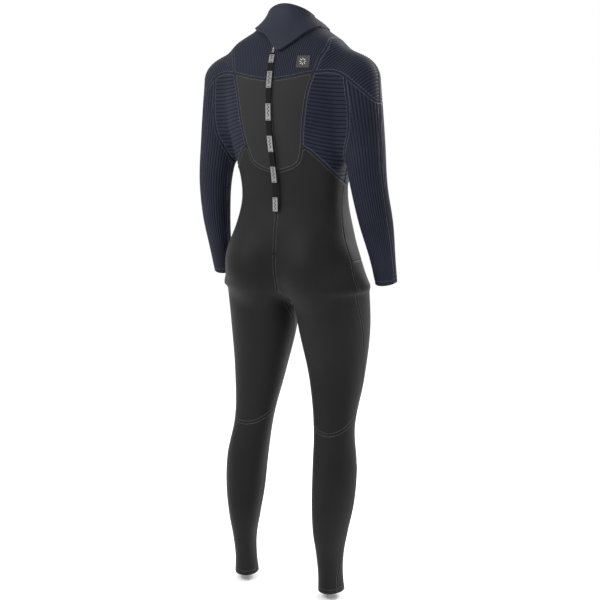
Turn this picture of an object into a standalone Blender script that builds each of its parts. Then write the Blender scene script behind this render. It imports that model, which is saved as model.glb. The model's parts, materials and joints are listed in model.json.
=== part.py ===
"""Full wetsuit with a back zip, built as the flat-sewn panels, collar, zip and pull leash of the real suit.

Frame: metres, +Z up, front of the suit towards -Y, wearer's left towards +X.
The origin is the centre of the neck opening, where the worn suit is held.
Shapes are laid out in heights above the ankle hems and moved to the origin at the end.
"""

import math

import bpy
import bmesh
import numpy as np
from mathutils import Matrix, Vector

# ---------------------------------------------------------------- driving dimensions
BODY_NEOPRENE = 0.004
LIMB_NEOPRENE = 0.003
SEAM_GAP = 0.0006
GRID = 0.036
# grid planes to either side of the middle: one stands in the gap between arm and hip
GRID_ACROSS = (0.036, 0.072, 0.104, 0.136, 0.168, 0.203, 0.230, 0.257, 0.286)
NECK_CENTRE = (0.0, -0.025, 1.463)
ANKLE_HEM = -0.018
WRIST_CENTRE = (0.243, -0.064, 0.812)
WRIST_AXIS = (0.05, -0.25, -0.967)
RIM_SLOPE = 0.78
# all of the rim is above this height, and the shoulders' tops below it are not
COLLAR_FOOT = 1.390
ELBOW_HEIGHT = 1.060
ELBOW_PIVOT_Y = -0.036
KNEE_HEIGHT = 0.412
KNEE_PIVOT_Y = 0.044
KNEE_SEAM_SLOPE = 0.6
LEG_TURN = math.radians(15)
ARM_TURN = math.radians(-35)

# zip: its teeth lie on an arc in the plane x = 0
ZIP_RADIUS = 0.400
ZIP_CENTRE = (0.0, -0.2855, 1.250)
ZIP_TOP = math.radians(23.4)
ZIP_BOTTOM = math.radians(-20.6)
SLIDER_ANGLE = math.radians(22.0)
ZIP_SLOT = 0.0050
COIL_WIDTH = 0.0024
COIL_HEIGHT = 0.0022
TAPE_WIDTH = 0.014
TAPE_THICKNESS = 0.0008
TAPE_HEIGHTS = (1.098, 1.402)
# below the teeth line: the coil's top; below the panels' inner faces: the tapes and the guard flap
COIL_DEPTH = 0.0013
TAPE_DEPTH = 0.0006
GUARD_DEPTH = 0.0040
GUARD_THICKNESS = 0.0020
GUARD_HALF_WIDTH = 0.024
GUARD_HEIGHTS = (1.090, 1.425)
BADGE_FACES = (0.0019, -0.0009)
LEASH_WIDTH = 0.0145
LEASH_THICKNESS = 0.0016
# woven labels on the leash, measured down it from its top: the first is half under the collar
FIRST_LABEL = (0.0040, 0.0250)
LABEL_START = 0.0460
LABEL_LENGTH = 0.0410
LABEL_PITCH = 0.0785
LABEL_COUNT = 5
# the leash's own line down the back: y, height
LEASH_LINE = (
    (0.0950, 1.3840), (0.1020, 1.3660), (0.1080, 1.3440), (0.1140, 1.3150), (0.1180, 1.2850),
    (0.1190, 1.2500), (0.1170, 1.2100), (0.1105, 1.1700), (0.1015, 1.1300), (0.0930, 1.0950),
    (0.0870, 1.0600), (0.0840, 1.0250), (0.0830, 0.9950),
)
# the puller stops this far short of the strap's pin, so that the strap's end can turn
PULLER_CLEARANCE = 0.0014
PULLER_HALF_WIDTH = 0.0032
PULLER_HALF_THICKNESS = 0.0006
BADGE_ACROSS = (-0.099, -0.067)
BADGE_HEIGHTS = (1.347, 1.376)
NECK_AXIS = (0.0, -0.020)
TAB_RIGHT = math.radians(-72)
TAB_LEFT = math.radians(58)
COLLAR_OPENING = math.radians(4.5)
# the collar's layers: how far the outer and inner face of each stand out from the suit's surface
COLLAR_LAYERS = {
    "band": (0.0042, -0.0012), "loop": (0.0055, -0.0048), "hook": (0.0068, -0.0060), "tab": (0.0102, -0.0074),
}

# how square the sections are: 2 is an ellipse
TORSO_POWER = 2.35
LIMB_POWER = 2.15
# where the torso's widest line lies between its front and its back
WIDEST_SHARE = 0.55
# how far one shape blends into the next
LEG_BLEND = 0.008
HIP_BLEND = 0.05
BUTTOCK_BLEND = 0.03
ARM_BLEND = 0.006
ARMPIT_BLEND = 0.029
ARMPIT_HEIGHTS = (1.02, 1.12)
# below this height an arm closes quickly, so that it ends past its wrist hem
ARM_END = 0.775
BUTTOCK_CENTRE = (0.078, 0.030, 0.850)
BUTTOCK_RADII = (0.088, 0.085, 0.100)

# torso sections: height, half width, front y, back y
TORSO = (
    (0.860, 0.176, -0.128, 0.094),
    (0.930, 0.163, -0.132, 0.088),
    (1.020, 0.142, -0.128, 0.074),
    (1.120, 0.149, -0.125, 0.089),
    (1.210, 0.166, -0.130, 0.111),
    (1.290, 0.176, -0.126, 0.113),
    (1.350, 0.178, -0.105, 0.103),
    (1.385, 0.166, -0.090, 0.092),
    (1.415, 0.138, -0.080, 0.079),
    (1.440, 0.098, -0.078, 0.061),
    (1.465, 0.068, -0.080, 0.047),
    (1.490, 0.053, -0.084, 0.037),
    (1.520, 0.041, -0.088, 0.026),
)
# leg sections: height, centre x, centre y, half width, front depth, back depth
LEG = (
    (-0.020, 0.131, 0.014, 0.032, 0.036, 0.040),
    (0.030, 0.131, 0.018, 0.029, 0.034, 0.040),
    (0.090, 0.132, 0.021, 0.032, 0.036, 0.047),
    (0.150, 0.133, 0.019, 0.042, 0.042, 0.058),
    (0.220, 0.135, 0.010, 0.052, 0.049, 0.066),
    (0.310, 0.134, 0.000, 0.056, 0.053, 0.066),
    (0.420, 0.121, -0.014, 0.053, 0.056, 0.052),
    (0.550, 0.114, -0.038, 0.070, 0.080, 0.068),
    (0.680, 0.105, -0.045, 0.089, 0.098, 0.094),
    (0.800, 0.100, -0.032, 0.096, 0.102, 0.108),
)
# arm sections, as for the legs
ARM = (
    (0.810, 0.243, -0.064, 0.028, 0.026, 0.026),
    (0.870, 0.241, -0.044, 0.032, 0.028, 0.028),
    (0.970, 0.234, -0.012, 0.042, 0.034, 0.034),
    (1.060, 0.223, 0.008, 0.045, 0.040, 0.040),
    (1.170, 0.207, 0.006, 0.051, 0.050, 0.050),
    (1.318, 0.182, 0.003, 0.060, 0.060, 0.062),
)

# seam lines, as knots of a smooth curve
COLLAR_BACK = (
    (-0.085, 1.448), (-0.061, 1.420), (-0.041, 1.404), (-0.009, 1.391),
    (0.010, 1.410), (0.028, 1.426), (0.058, 1.438), (0.085, 1.448),
)
COLLAR_FRONT = ((-0.085, 1.448), (-0.050, 1.400), (0.000, 1.382), (0.050, 1.400), (0.085, 1.448))
SHOULDER_LINE = (
    (0.000, 1.319), (0.055, 1.326), (0.110, 1.336), (0.160, 1.337), (0.183, 1.327),
    (0.200, 1.313), (0.225, 1.290), (0.250, 1.263), (0.275, 1.250),
)
YOKE_SIDE = ((1.330, 0.111), (1.370, 0.121), (1.395, 0.131), (1.420, 0.128))
BACK_PANEL = (
    (0.000, 1.094), (0.035, 1.103), (0.055, 1.112), (0.067, 1.124),
    (0.078, 1.160), (0.088, 1.225), (0.096, 1.280), (0.111, 1.336),
)
UNDERARM_LINE = (
    (-0.130, 1.100), (-0.090, 1.075), (-0.045, 1.058), (-0.015, 1.068),
    (0.025, 1.089), (0.061, 1.123), (0.086, 1.155), (0.100, 1.170),
)
CHEST_SIDE = ((1.050, 0.110), (1.150, 0.095), (1.250, 0.100), (1.336, 0.112))
ARMHOLE = (
    (0.800, 0.201), (0.850, 0.198), (0.950, 0.182), (1.050, 0.160), (1.110, 0.160),
    (1.144, 0.171), (1.175, 0.183), (1.340, 0.183),
)
SIDE_SEAM = (
    (-0.020, 0.032), (0.032, 0.031), (0.100, 0.019), (0.183, 0.010), (0.264, 0.000),
    (0.360, -0.028), (0.492, -0.059), (0.548, -0.055), (0.632, -0.043), (0.702, -0.026),
    (0.770, -0.001), (0.849, 0.014), (0.924, 0.016), (0.986, 0.002), (1.047, -0.015), (1.200, -0.030),
)
INSEAM = (
    (-0.020, 0.020), (0.100, 0.018), (0.264, 0.000), (0.360, -0.025), (0.492, -0.058),
    (0.600, -0.055), (0.690, -0.040), (0.740, 0.000), (0.790, 0.040),
)
SLEEVE_SEAM = (
    (0.810, -0.058), (0.870, -0.040), (0.970, -0.004), (1.078, 0.020), (1.200, 0.019), (1.270, 0.010),
)
SHOULDER_TOP_Y = -0.030
GROIN_HEIGHT = 0.757
LEG_TOP = 0.79
GROIN_SLOPE = 0.62
KNEE_PAD_LOW = 0.330

NAVY = (0.022, 0.026, 0.045, 1.0)
CHARCOAL = (0.022, 0.022, 0.024, 1.0)
BLACK = (0.008, 0.008, 0.009, 1.0)
SILVER = (0.55, 0.55, 0.56, 1.0)
LABEL_WHITE = (0.62, 0.62, 0.60, 1.0)


# ---------------------------------------------------------------- the worn shape
def curve(t, knots):
    """Smooth curve through (t, values...) knots, held level past its ends."""
    place = np.array([k[0] for k in knots])
    value = np.array([k[1:] for k in knots], float)
    step = place[1:] - place[:-1]
    chord = (value[1:] - value[:-1]) / step[:, None]
    slope = np.empty_like(value)
    slope[0] = chord[0]
    slope[-1] = chord[-1]
    before = step[:-1, None]
    after = step[1:, None]
    slope[1:-1] = (chord[1:] * before + chord[:-1] * after) / (before + after)
    t = np.clip(np.asarray(t, float), place[0], place[-1])
    i = np.clip(np.searchsorted(place, t) - 1, 0, len(place) - 2)
    h = step[i][..., None]
    s = ((t - place[i]) / step[i])[..., None]
    rise = s * s * (3 - 2 * s)
    return (
        value[i] * (1 - rise) + value[i + 1] * rise
        + h * s * (1 - s) * (slope[i] * (1 - s) - slope[i + 1] * s)
    )


def height_curve(t, knots):
    return curve(t, knots)[..., 0]


def smooth_min(a, b, blend):
    h = np.clip(0.5 + 0.5 * (b - a) / blend, 0, 1)
    return b + (a - b) * h - blend * h * (1 - h)


def section(u, v, half_width, front, back, power):
    depth = np.where(v < 0, front, back)
    rho = (np.abs(u / half_width) ** power + np.abs(v / depth) ** power) ** (1 / power)
    return rho, (half_width + front + back) / 3


def torso(x, y, z):
    t = curve(z, TORSO)
    front = t[..., 1]
    back = t[..., 2]
    middle = front * (1 - WIDEST_SHARE) + back * WIDEST_SHARE
    rho, radius = section(x, y - middle, t[..., 0], middle - front, back - middle, TORSO_POWER)
    return (rho - 1) * radius + np.maximum(TORSO[0][0] - z, 0)


def limb(x, y, z, table, turn):
    t = curve(z, table)
    dx = x - t[..., 0]
    dy = y - t[..., 1]
    u = dx * math.cos(turn) + dy * math.sin(turn)
    v = dy * math.cos(turn) - dx * math.sin(turn)
    return section(u, v, t[..., 2], t[..., 3], t[..., 4], LIMB_POWER)


def leg(x, y, z):
    rho, radius = limb(x, y, z, LEG, LEG_TURN)
    return (rho - 1) * radius + np.maximum(z - LEG[-1][0], 0) * 0.6


def arm(x, y, z):
    rho, radius = limb(x, y, z, ARM, ARM_TURN)
    past_wrist = np.maximum(ARM_END - z, 0)
    return np.hypot(rho * radius, np.maximum(z - ARM[-1][0], 0)) - radius + past_wrist * 3


def buttock(x, y, z):
    total = 0
    for place, middle, radius in zip((x, y, z), BUTTOCK_CENTRE, BUTTOCK_RADII):
        total = total + ((place - middle) / radius) ** 2
    return (np.sqrt(total) - 1) * sum(BUTTOCK_RADII) / 3


def body(p):
    """Signed measure of the worn suit's outside: below zero inside it."""
    x = p[..., 0]
    y = p[..., 1]
    z = p[..., 2]
    side = np.abs(x)
    legs = smooth_min(leg(x, y, z), leg(-x, y, z), LEG_BLEND)
    f = smooth_min(torso(x, y, z), legs, HIP_BLEND)
    f = smooth_min(f, buttock(side, y, z), BUTTOCK_BLEND)
    low, high = ARMPIT_HEIGHTS
    near_armpit = np.clip((z - low) / (high - low), 0, 1)
    return smooth_min(f, arm(side, y, z), ARM_BLEND + ARMPIT_BLEND * near_armpit)


def gradient(p, reach=0.0008):
    parts = []
    for axis in np.eye(3) * reach:
        parts.append((body(p + axis) - body(p - axis)) / (2 * reach))
    return np.stack(parts, -1)


def outward(p):
    g = gradient(p)
    return g / np.linalg.norm(g, axis=-1, keepdims=True)


def to_surface(p, rounds=5):
    for _ in range(rounds):
        g = gradient(p)
        p = p - g * (body(p) / np.sum(g * g, -1))[..., None]
    return p


# ---------------------------------------------------------------- seam fields
def neck_side(p):
    """0 in front of the neck, 1 behind it."""
    t = np.clip((p[..., 1] + 0.045) / 0.05, 0, 1)
    return t * t * (3 - 2 * t)


def collar_edge(p):
    back = height_curve(p[..., 0], COLLAR_BACK)
    front = height_curve(p[..., 0], COLLAR_FRONT)
    rear = neck_side(p)
    return p[..., 2] - back * rear - front * (1 - rear)


def shoulder_line(p):
    return p[..., 2] - height_curve(np.abs(p[..., 0]), SHOULDER_LINE)


def yoke_side(p):
    return np.abs(p[..., 0]) - height_curve(p[..., 2], YOKE_SIDE)


def back_panel_edge(p):
    side = np.abs(p[..., 0])
    past = np.maximum(side - BACK_PANEL[-1][0], 0)
    return p[..., 2] - height_curve(side, BACK_PANEL) - past * 6


def underarm_line(p):
    return p[..., 2] - height_curve(p[..., 1], UNDERARM_LINE)


def shoulder_top(p):
    return p[..., 1] - SHOULDER_TOP_Y


def chest_side(p):
    return np.abs(p[..., 0]) - height_curve(p[..., 2], CHEST_SIDE)


def armhole(p):
    return np.abs(p[..., 0]) - height_curve(p[..., 2], ARMHOLE)


def side_seam(p):
    return p[..., 1] - height_curve(p[..., 2], SIDE_SEAM)


def inseam(p):
    return p[..., 1] - height_curve(p[..., 2], INSEAM)


def sleeve_seam(p):
    return p[..., 1] - height_curve(p[..., 2], SLEEVE_SEAM)


def centre(p):
    return p[..., 0]


def groin(p):
    return p[..., 2] - GROIN_HEIGHT - GROIN_SLOPE * np.abs(p[..., 0])


def knee_seam(p):
    return p[..., 2] - KNEE_HEIGHT - KNEE_SEAM_SLOPE * (KNEE_PIVOT_Y - p[..., 1])


def knee_pad_low(p):
    return p[..., 2] - KNEE_PAD_LOW


def elbow_line(p):
    return p[..., 2] - ELBOW_HEIGHT


def wrist_hem(p):
    away = [p[..., 1] - WRIST_CENTRE[1], p[..., 2] - WRIST_CENTRE[2]]
    side = np.abs(p[..., 0]) - WRIST_CENTRE[0]
    return -(side * WRIST_AXIS[0] + away[0] * WRIST_AXIS[1] + away[1] * WRIST_AXIS[2])


def ankle_hem(p):
    return p[..., 2] - ANKLE_HEM


def rim(p):
    return NECK_CENTRE[2] + RIM_SLOPE * (p[..., 1] - NECK_CENTRE[1]) - p[..., 2]


# ---------------------------------------------------------------- which panel a place belongs to
def is_arm(p):
    return armhole(p) > 0 and p[2] > 0.76


def is_leg_outer(p):
    return abs(p[0]) > height_curve(p[2], tuple(row[:2] for row in LEG))


def behind_leg_seams(p):
    if p[2] > LEG_TOP or is_leg_outer(p):
        return side_seam(p) > 0
    return inseam(p) > 0


def panel_of(p):
    side = "left" if p[0] > 0 else "right"
    if collar_edge(p) > 0 and abs(p[0]) < 0.11 and p[2] > 1.36:
        return "collar"
    if shoulder_line(p) > 0 and yoke_side(p) > 0:
        return "shoulder_panel_" + side
    if is_arm(p):
        face = "back" if sleeve_seam(p) > 0 else "front"
        part = "upper_sleeve" if elbow_line(p) > 0 else "forearm_sleeve"
        return f"{part}_{face}_{side}"
    if p[2] > 1.0 and underarm_line(p) > 0 or p[1] > 0 and back_panel_edge(p) > 0 and p[2] > 1.0:
        if (shoulder_top(p) if p[2] > 1.30 else side_seam(p)) > 0:
            if yoke_side(p) < 0 and shoulder_line(p) > 0:
                return "back_yoke_" + side
            if back_panel_edge(p) > 0:
                return "back_panel_" + side
            return "side_back_panel_" + side
        return "chest_panel" if chest_side(p) < 0 or shoulder_line(p) > 0 else "side_front_panel_" + side
    if knee_seam(p) > 0:
        if behind_leg_seams(p):
            return "seat_thigh_panel_" + side
        return "belly_panel" if groin(p) > 0 else "front_thigh_panel_" + side
    if behind_leg_seams(p):
        return "calf_panel_" + side
    return ("knee_pad_" if knee_pad_low(p) > 0 else "shin_panel_") + side


# ---------------------------------------------------------------- the skin as one mesh, cut along its seams
def surface_net():
    """Quads around the zero level of body(), one point in each grid cell that the level crosses."""
    half = np.array(GRID_ACROSS)
    xs = np.concatenate([-half[::-1], [0.0], half])
    ys = np.arange(-6, 6) * GRID + 0.004
    zs = np.arange(-3, 45) * GRID + 0.006
    nodes = np.stack(np.meshgrid(xs, ys, zs, indexing="ij"), -1)
    value = body(nodes)
    inside = value < 0
    total = np.zeros(tuple(n - 1 for n in value.shape) + (3,))
    count = np.zeros(total.shape[:3])
    size = value.shape
    for axis in range(3):
        others = [a for a in range(3) if a != axis]
        for i in (0, 1):
            for j in (0, 1):
                low = [slice(0, n - 1) for n in size]
                for a, offset in zip(others, (i, j)):
                    low[a] = slice(offset, size[a] - 1 + offset)
                high = list(low)
                high[axis] = slice(1, size[axis])
                low = tuple(low)
                high = tuple(high)
                crossed = inside[low] != inside[high]
                gap = np.where(crossed, value[low] - value[high], 1)
                part = np.where(crossed, value[low] / gap, 0)[..., None]
                total += np.where(crossed[..., None], nodes[low] * (1 - part) + nodes[high] * part, 0)
                count += crossed
    used = count > 0
    number = np.full(used.shape, -1)
    number[used] = np.arange(used.sum())
    points = to_surface(total[used] / count[used][:, None])
    faces = []
    for axis in range(3):
        b = (axis + 1) % 3
        c = (axis + 2) % 3
        low = [slice(None)] * 3
        high = [slice(None)] * 3
        low[axis] = slice(0, -1)
        high[axis] = slice(1, None)
        turned = np.argwhere(inside[tuple(low)] != inside[tuple(high)])
        for cell in turned:
            if cell[b] == 0 or cell[c] == 0:
                continue
            if cell[b] >= used.shape[b] or cell[c] >= used.shape[c]:
                continue
            ring = []
            for db, dc in ((1, 1), (0, 1), (0, 0), (1, 0)):
                corner = cell.copy()
                corner[b] -= db
                corner[c] -= dc
                ring.append(int(number[tuple(corner)]))
            leaving = inside[tuple(cell)]
            faces.append(ring if leaving else ring[::-1])
    return points, faces


def cut(bm, field, where):
    """Splits the faces that satisfy where() along the zero line of a field. Near points slide onto it."""
    def at(vert):
        return float(field(np.array(vert.co)))

    chosen = [f for f in bm.faces if where(f.calc_center_median())]
    edges = {e for f in chosen for e in f.edges}
    verts = {v for e in edges for v in e.verts}
    value = {v: at(v) for v in verts}
    on_line = {v for v in verts if abs(value[v]) < 1e-5}
    locked = bm.verts.layers.int["locked"]
    crossing = [e for e in edges if value[e.verts[0]] * value[e.verts[1]] < 0 and not on_line & set(e.verts)]
    near = {}
    for e in crossing:
        a, b = e.verts
        share = value[a] / (value[a] - value[b])
        for v, part, other in ((a, share, b), (b, 1 - share, a)):
            if part < 0.3 and not v[locked] and part < near.get(v, (1,))[0]:
                near[v] = (part, v.co.lerp(other.co, part))
    for v, (part, place) in near.items():
        v.co = Vector(to_surface(np.array(place)[None])[0])
        on_line.add(v)
    for e in crossing:
        if near.keys() & set(e.verts):
            continue
        a, b = e.verts
        share = value[a] / (value[a] - value[b])
        _, new = bmesh.utils.edge_split(e, a, share)
        new.co = Vector(to_surface(np.array(new.co)[None])[0])
        on_line.add(new)
    for v in on_line:
        if v.is_valid:
            for _ in range(3):
                here = np.array(v.co)
                step = 0.0005
                slope = np.array([field(here + d) - field(here - d) for d in np.eye(3) * step]) / (2 * step)
                normal = outward(here[None])[0]
                slope -= normal * slope.dot(normal)
                size = slope.dot(slope)
                if size < 1e-6 or v[locked]:
                    break
                move = -slope * field(here) / size
                length = np.linalg.norm(move)
                move *= min(1, 0.012 / max(length, 1e-9))
                v.co = Vector(to_surface((here + move)[None])[0])
            v[locked] = 1
    for f in list(chosen):
        if not f.is_valid:
            continue
        marks = [v for v in f.verts if v in on_line]
        if len(marks) < 2:
            continue
        for i, a in enumerate(marks):
            for b in marks[i + 1:]:
                linked = any(b in e.verts for e in a.link_edges)
                if not linked and a in f.verts and b in f.verts:
                    try:
                        bmesh.utils.face_split(f, a, b)
                    except ValueError:
                        pass


def drop(bm, field, where):
    gone = []
    for f in bm.faces:
        place = f.calc_center_median()
        if where(place) and field(np.array(place)) < 0:
            gone.append(f)
    bmesh.ops.delete(bm, geom=gone, context="FACES")


def on_arm(p):
    return is_arm(np.array(p))


def beyond(field, p, level=0.0):
    return float(field(np.array(p))) > level


def beside_chest(p):
    return p.y < -0.05 and 1.03 < p.z < 1.34 and not on_arm(p) and beyond(underarm_line, p)


def near_wrist(p):
    return abs(p.x) > 0.19 and 0.70 < p.z < 0.87


def on_upper_back(p):
    return p.y > 0.03 and 1.06 < p.z < 1.37 and not beyond(shoulder_line, p)


def in_back_panel(p):
    return p.y > 0.03 and beyond(back_panel_edge, p)


def down_the_side(p):
    return p.z < 1.32 and (p.z > LEG_TOP or is_leg_outer(np.array(p)))


def sewn_skin():
    points, faces = surface_net()
    bm = bmesh.new()
    bm.verts.layers.int.new("locked")
    verts = [bm.verts.new(p) for p in points]
    for ring in faces:
        bm.faces.new([verts[i] for i in ring])
    cut(bm, ankle_hem, lambda p: p.z < 0.05)
    drop(bm, ankle_hem, lambda p: p.z < 0.05)
    cut(bm, wrist_hem, lambda p: near_wrist(p) and on_arm(p))
    drop(bm, wrist_hem, lambda p: near_wrist(p) and beyond(armhole, p))
    cut(bm, rim, lambda p: p.z > COLLAR_FOOT)
    drop(bm, rim, lambda p: p.z > COLLAR_FOOT)
    cut(bm, centre, lambda p: p.y > -0.02 and p.z > 0.70 or p.z < 0.80)
    cut(bm, collar_edge, lambda p: abs(p.x) < 0.11 and p.z > 1.36)
    cut(bm, armhole, lambda p: p.z > 1.0 and abs(p.x) > 0.1)
    cut(bm, shoulder_line, lambda p: p.z > 1.2 and (p.y > 0 or abs(p.x) > 0.10))
    cut(bm, yoke_side, lambda p: p.z > 1.32 and beyond(shoulder_line, p, -0.004))
    cut(bm, shoulder_top, lambda p: p.z > 1.34 and abs(p.x) < 0.14 and not beyond(collar_edge, p, 0.004))
    cut(bm, back_panel_edge, on_upper_back)
    cut(bm, underarm_line, lambda p: 1.0 < p.z < 1.2 and not on_arm(p) and not in_back_panel(p))
    cut(bm, side_seam, lambda p: not on_arm(p) and abs(p.x) > 0.05 and down_the_side(p))
    cut(bm, inseam, lambda p: p.z < LEG_TOP and not is_leg_outer(np.array(p)))
    cut(bm, chest_side, beside_chest)
    cut(bm, groin, lambda p: p.z < 0.95 and not on_arm(p) and not behind_leg_seams(np.array(p)))
    cut(bm, knee_seam, lambda p: 0.33 < p.z < 0.56)
    cut(bm, knee_pad_low, lambda p: p.z < 0.42 and not behind_leg_seams(np.array(p)))
    cut(bm, sleeve_seam, lambda p: on_arm(p) and not beyond(shoulder_line, p))
    cut(bm, elbow_line, on_arm)
    return bm


# ---------------------------------------------------------------- making the solids
def material(name, colour, roughness, metallic=0.0):
    found = bpy.data.materials.get(name)
    if found:
        return found
    made = bpy.data.materials.new(name)
    made.use_nodes = True
    shader = made.node_tree.nodes["Principled BSDF"]
    shader.inputs["Base Color"].default_value = colour
    shader.inputs["Roughness"].default_value = roughness
    shader.inputs["Metallic"].default_value = metallic
    return made


def add_object(name, points, faces, finish):
    mesh = bpy.data.meshes.new(name)
    mesh.from_pydata([tuple(float(c) for c in p) for p in points], [], faces)
    mesh.update()
    made = bpy.data.objects.new(name, mesh)
    bpy.context.scene.collection.objects.link(made)
    made.data.materials.append(finish)
    return made


def thick_piece(name, points, faces, normals, outer, inner, finish, shift):
    """A closed shell: the faces moved out by outer and in by inner, walled along their border."""
    count = len(points)
    uses = {}
    for ring in faces:
        for a, b in zip(ring, ring[1:] + ring[:1]):
            uses[(a, b)] = True
    border = [(a, b) for a, b in uses if (b, a) not in uses]
    pull = np.zeros((count, 3))
    weight = np.zeros(count)
    for a, b in border:
        along = points[b] - points[a]
        inward = np.cross(normals[a] + normals[b], along)
        inward /= max(np.linalg.norm(inward), 1e-9)
        for v in (a, b):
            pull[v] += inward
            weight[v] += 1
    for v in np.flatnonzero(weight):
        size = np.linalg.norm(pull[v])
        if size > 1e-6:
            aim = pull[v] / size
            pull[v] = aim * min(weight[v] / size, 2.5) * shift(points[v])
    moved = points + pull
    both = np.concatenate([moved + normals * outer, moved - normals * inner])
    rings = [list(r) for r in faces] + [[v + count for v in reversed(r)] for r in faces]
    for a, b in border:
        if tuple(points[a]) < tuple(points[b]):
            rings += [[b, a, b + count], [a, a + count, b + count]]
        else:
            rings += [[b, a, a + count], [b, a + count, b + count]]
    return add_object(name, both, rings, finish)


def seam_shift(p):
    """How far a border keeps back from its seam: wide along the zip, hair-thin elsewhere."""
    return ZIP_SLOT if on_zip_line(p) else SEAM_GAP / 2


PANEL_FINISH = {
    "back_panel": ("charcoal_jersey", CHARCOAL, 0.75),
    "back_yoke": ("navy_rib", NAVY, 0.8),
    "side_back_panel": ("navy_rib", NAVY, 0.8),
    "side_front_panel": ("navy_rib", NAVY, 0.8),
    "shoulder_panel": ("navy_rib", NAVY, 0.8),
    "upper_sleeve": ("navy_rib", NAVY, 0.8),
    "forearm_sleeve": ("navy_rib", NAVY, 0.8),
}


def finish_of(name):
    for start, values in PANEL_FINISH.items():
        if name.startswith(start):
            return material(*values)
    return material("black_jersey", BLACK, 0.7)


def spread(start, linked):
    """Everything that can be reached from start through linked()."""
    found = {start}
    open_ends = [start]
    while open_ends:
        for other in linked(open_ends.pop()):
            if other not in found:
                found.add(other)
                open_ends.append(other)
    return found


def gather(bm):
    """The skin's faces by panel. A scrap cut off from its own panel joins the one beside it."""
    owner = {f: panel_of(np.array(f.calc_center_median())) for f in bm.faces}

    def beside(face):
        return [g for e in face.edges for g in e.link_faces if g is not face]

    def shared_length(edge, name):
        return edge.calc_length() * len([g for g in edge.link_faces if owner[g] != name])

    seen = {}
    for f in bm.faces:
        if f not in seen:
            patch = spread(f, lambda g: [h for h in beside(g) if owner[h] == owner[g]])
            seen.update((g, patch) for g in patch)
    largest = {}
    for patch in seen.values():
        name = owner[next(iter(patch))]
        if len(patch) > len(largest.get(name, ())):
            largest[name] = patch
    panels = {}
    for f in bm.faces:
        name = owner[f]
        if f not in largest[name]:
            edge = max(f.edges, key=lambda e: shared_length(e, name))
            others = [owner[g] for g in edge.link_faces if owner[g] != name]
            if not others:
                continue
            name = others[0]
        panels.setdefault(name, []).append(f)
    return panels


def on_zip_line(p):
    return abs(p[0]) < 0.0005 and p[1] > 0 and p[2] > BACK_PANEL[0][1] - 0.003


def make_panel(name, faces, outer, inner):
    """One panel's shell. A point gets a copy for each fan of faces there, and for each side of the zip."""
    mine = set(faces)
    order = {}
    rings = []
    points = []
    for f in faces:
        left = f.calc_center_median().x > 0
        ring = []
        for v in f.verts:
            around = [g for g in v.link_faces if g in mine]
            fan = spread(f, lambda g: [h for h in around if h is not g and set(h.edges) & set(g.edges)])
            first = min(g.index for g in fan)
            key = (v.index, first, left if on_zip_line(v.co) else None)
            if key not in order:
                order[key] = len(points)
                points.append(tuple(v.co))
            ring.append(order[key])
        rings.append(ring)
    points = np.array(points)
    return thick_piece(name, points, rings, outward(points), outer, inner, finish_of(name), seam_shift)


def main_panels(bm):
    for name, faces in sorted(gather(bm).items()):
        if name == "collar":
            continue
        on_limb = any(word in name for word in ("sleeve", "calf", "shin", "knee", "thigh"))
        make_panel(name, faces, 0, LIMB_NEOPRENE if on_limb else BODY_NEOPRENE)


def grid_rings(rows, columns):
    rings = []
    for i in range(rows - 1):
        for j in range(columns - 1):
            a = i * columns + j
            rings.append([a, a + 1, a + 1 + columns, a + columns])
    return rings


def sheet_piece(name, grid, normals, outer, inner, finish):
    """A closed shell over a grid of points [row, column, 3] whose rows rise and columns run right to left."""
    rows, columns = grid.shape[:2]
    points = grid.reshape(-1, 3)
    rings = grid_rings(rows, columns)
    a, b, c = (points[v] for v in rings[0][:3])
    if np.dot(np.cross(b - a, c - b), normals.reshape(-1, 3)[0]) < 0:
        rings = [r[::-1] for r in rings]
    return thick_piece(name, points, rings, normals.reshape(-1, 3), outer, inner, finish, lambda p: 0)


def along_ray(start, direction, reach=0.30):
    """Where rays from inside the suit leave it, by halving."""
    low = np.zeros(start.shape[:-1])
    high = np.full(start.shape[:-1], reach)
    for _ in range(26):
        middle = (low + high) / 2
        within = body(start + direction * middle[..., None]) < 0
        low = np.where(within, middle, low)
        high = np.where(within, high, middle)
    return start + direction * low[..., None]


def back_surface(xs, heights):
    """The suit's back at a grid of x and height: [height, x, 3]."""
    hh, xx = np.meshgrid(heights, xs, indexing="ij")
    start = np.stack([xx, np.zeros_like(xx), hh], -1)
    return along_ray(start, np.array([0.0, 1.0, 0.0]))


def around_neck(angles, low, high, rows):
    """Grid on the neck: columns at angles from straight back, towards the left; rows from low to high."""
    columns = []
    for angle in angles:
        direction = np.array([math.sin(angle), math.cos(angle), 0.0])
        bottom, top = low(angle), high(angle)
        start = np.array([[NECK_AXIS[0], NECK_AXIS[1], h] for h in np.linspace(bottom, top, rows)])
        columns.append(along_ray(start, direction))
    return np.stack(columns, 1)


def collar_low(angle, drop_by=0.002):
    height = 1.42
    for _ in range(6):
        direction = np.array([math.sin(angle), math.cos(angle), 0.0])
        place = along_ray(np.array([NECK_AXIS[0], NECK_AXIS[1], height]), direction)
        edge = height - float(collar_edge(place))
        height = 0.5 * height + 0.5 * edge
    return height - drop_by


def collar_high(angle, drop_by=0.005):
    y = NECK_AXIS[1] + 0.055 * math.cos(angle)
    return NECK_CENTRE[2] + RIM_SLOPE * (y - NECK_CENTRE[1]) - drop_by


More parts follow.
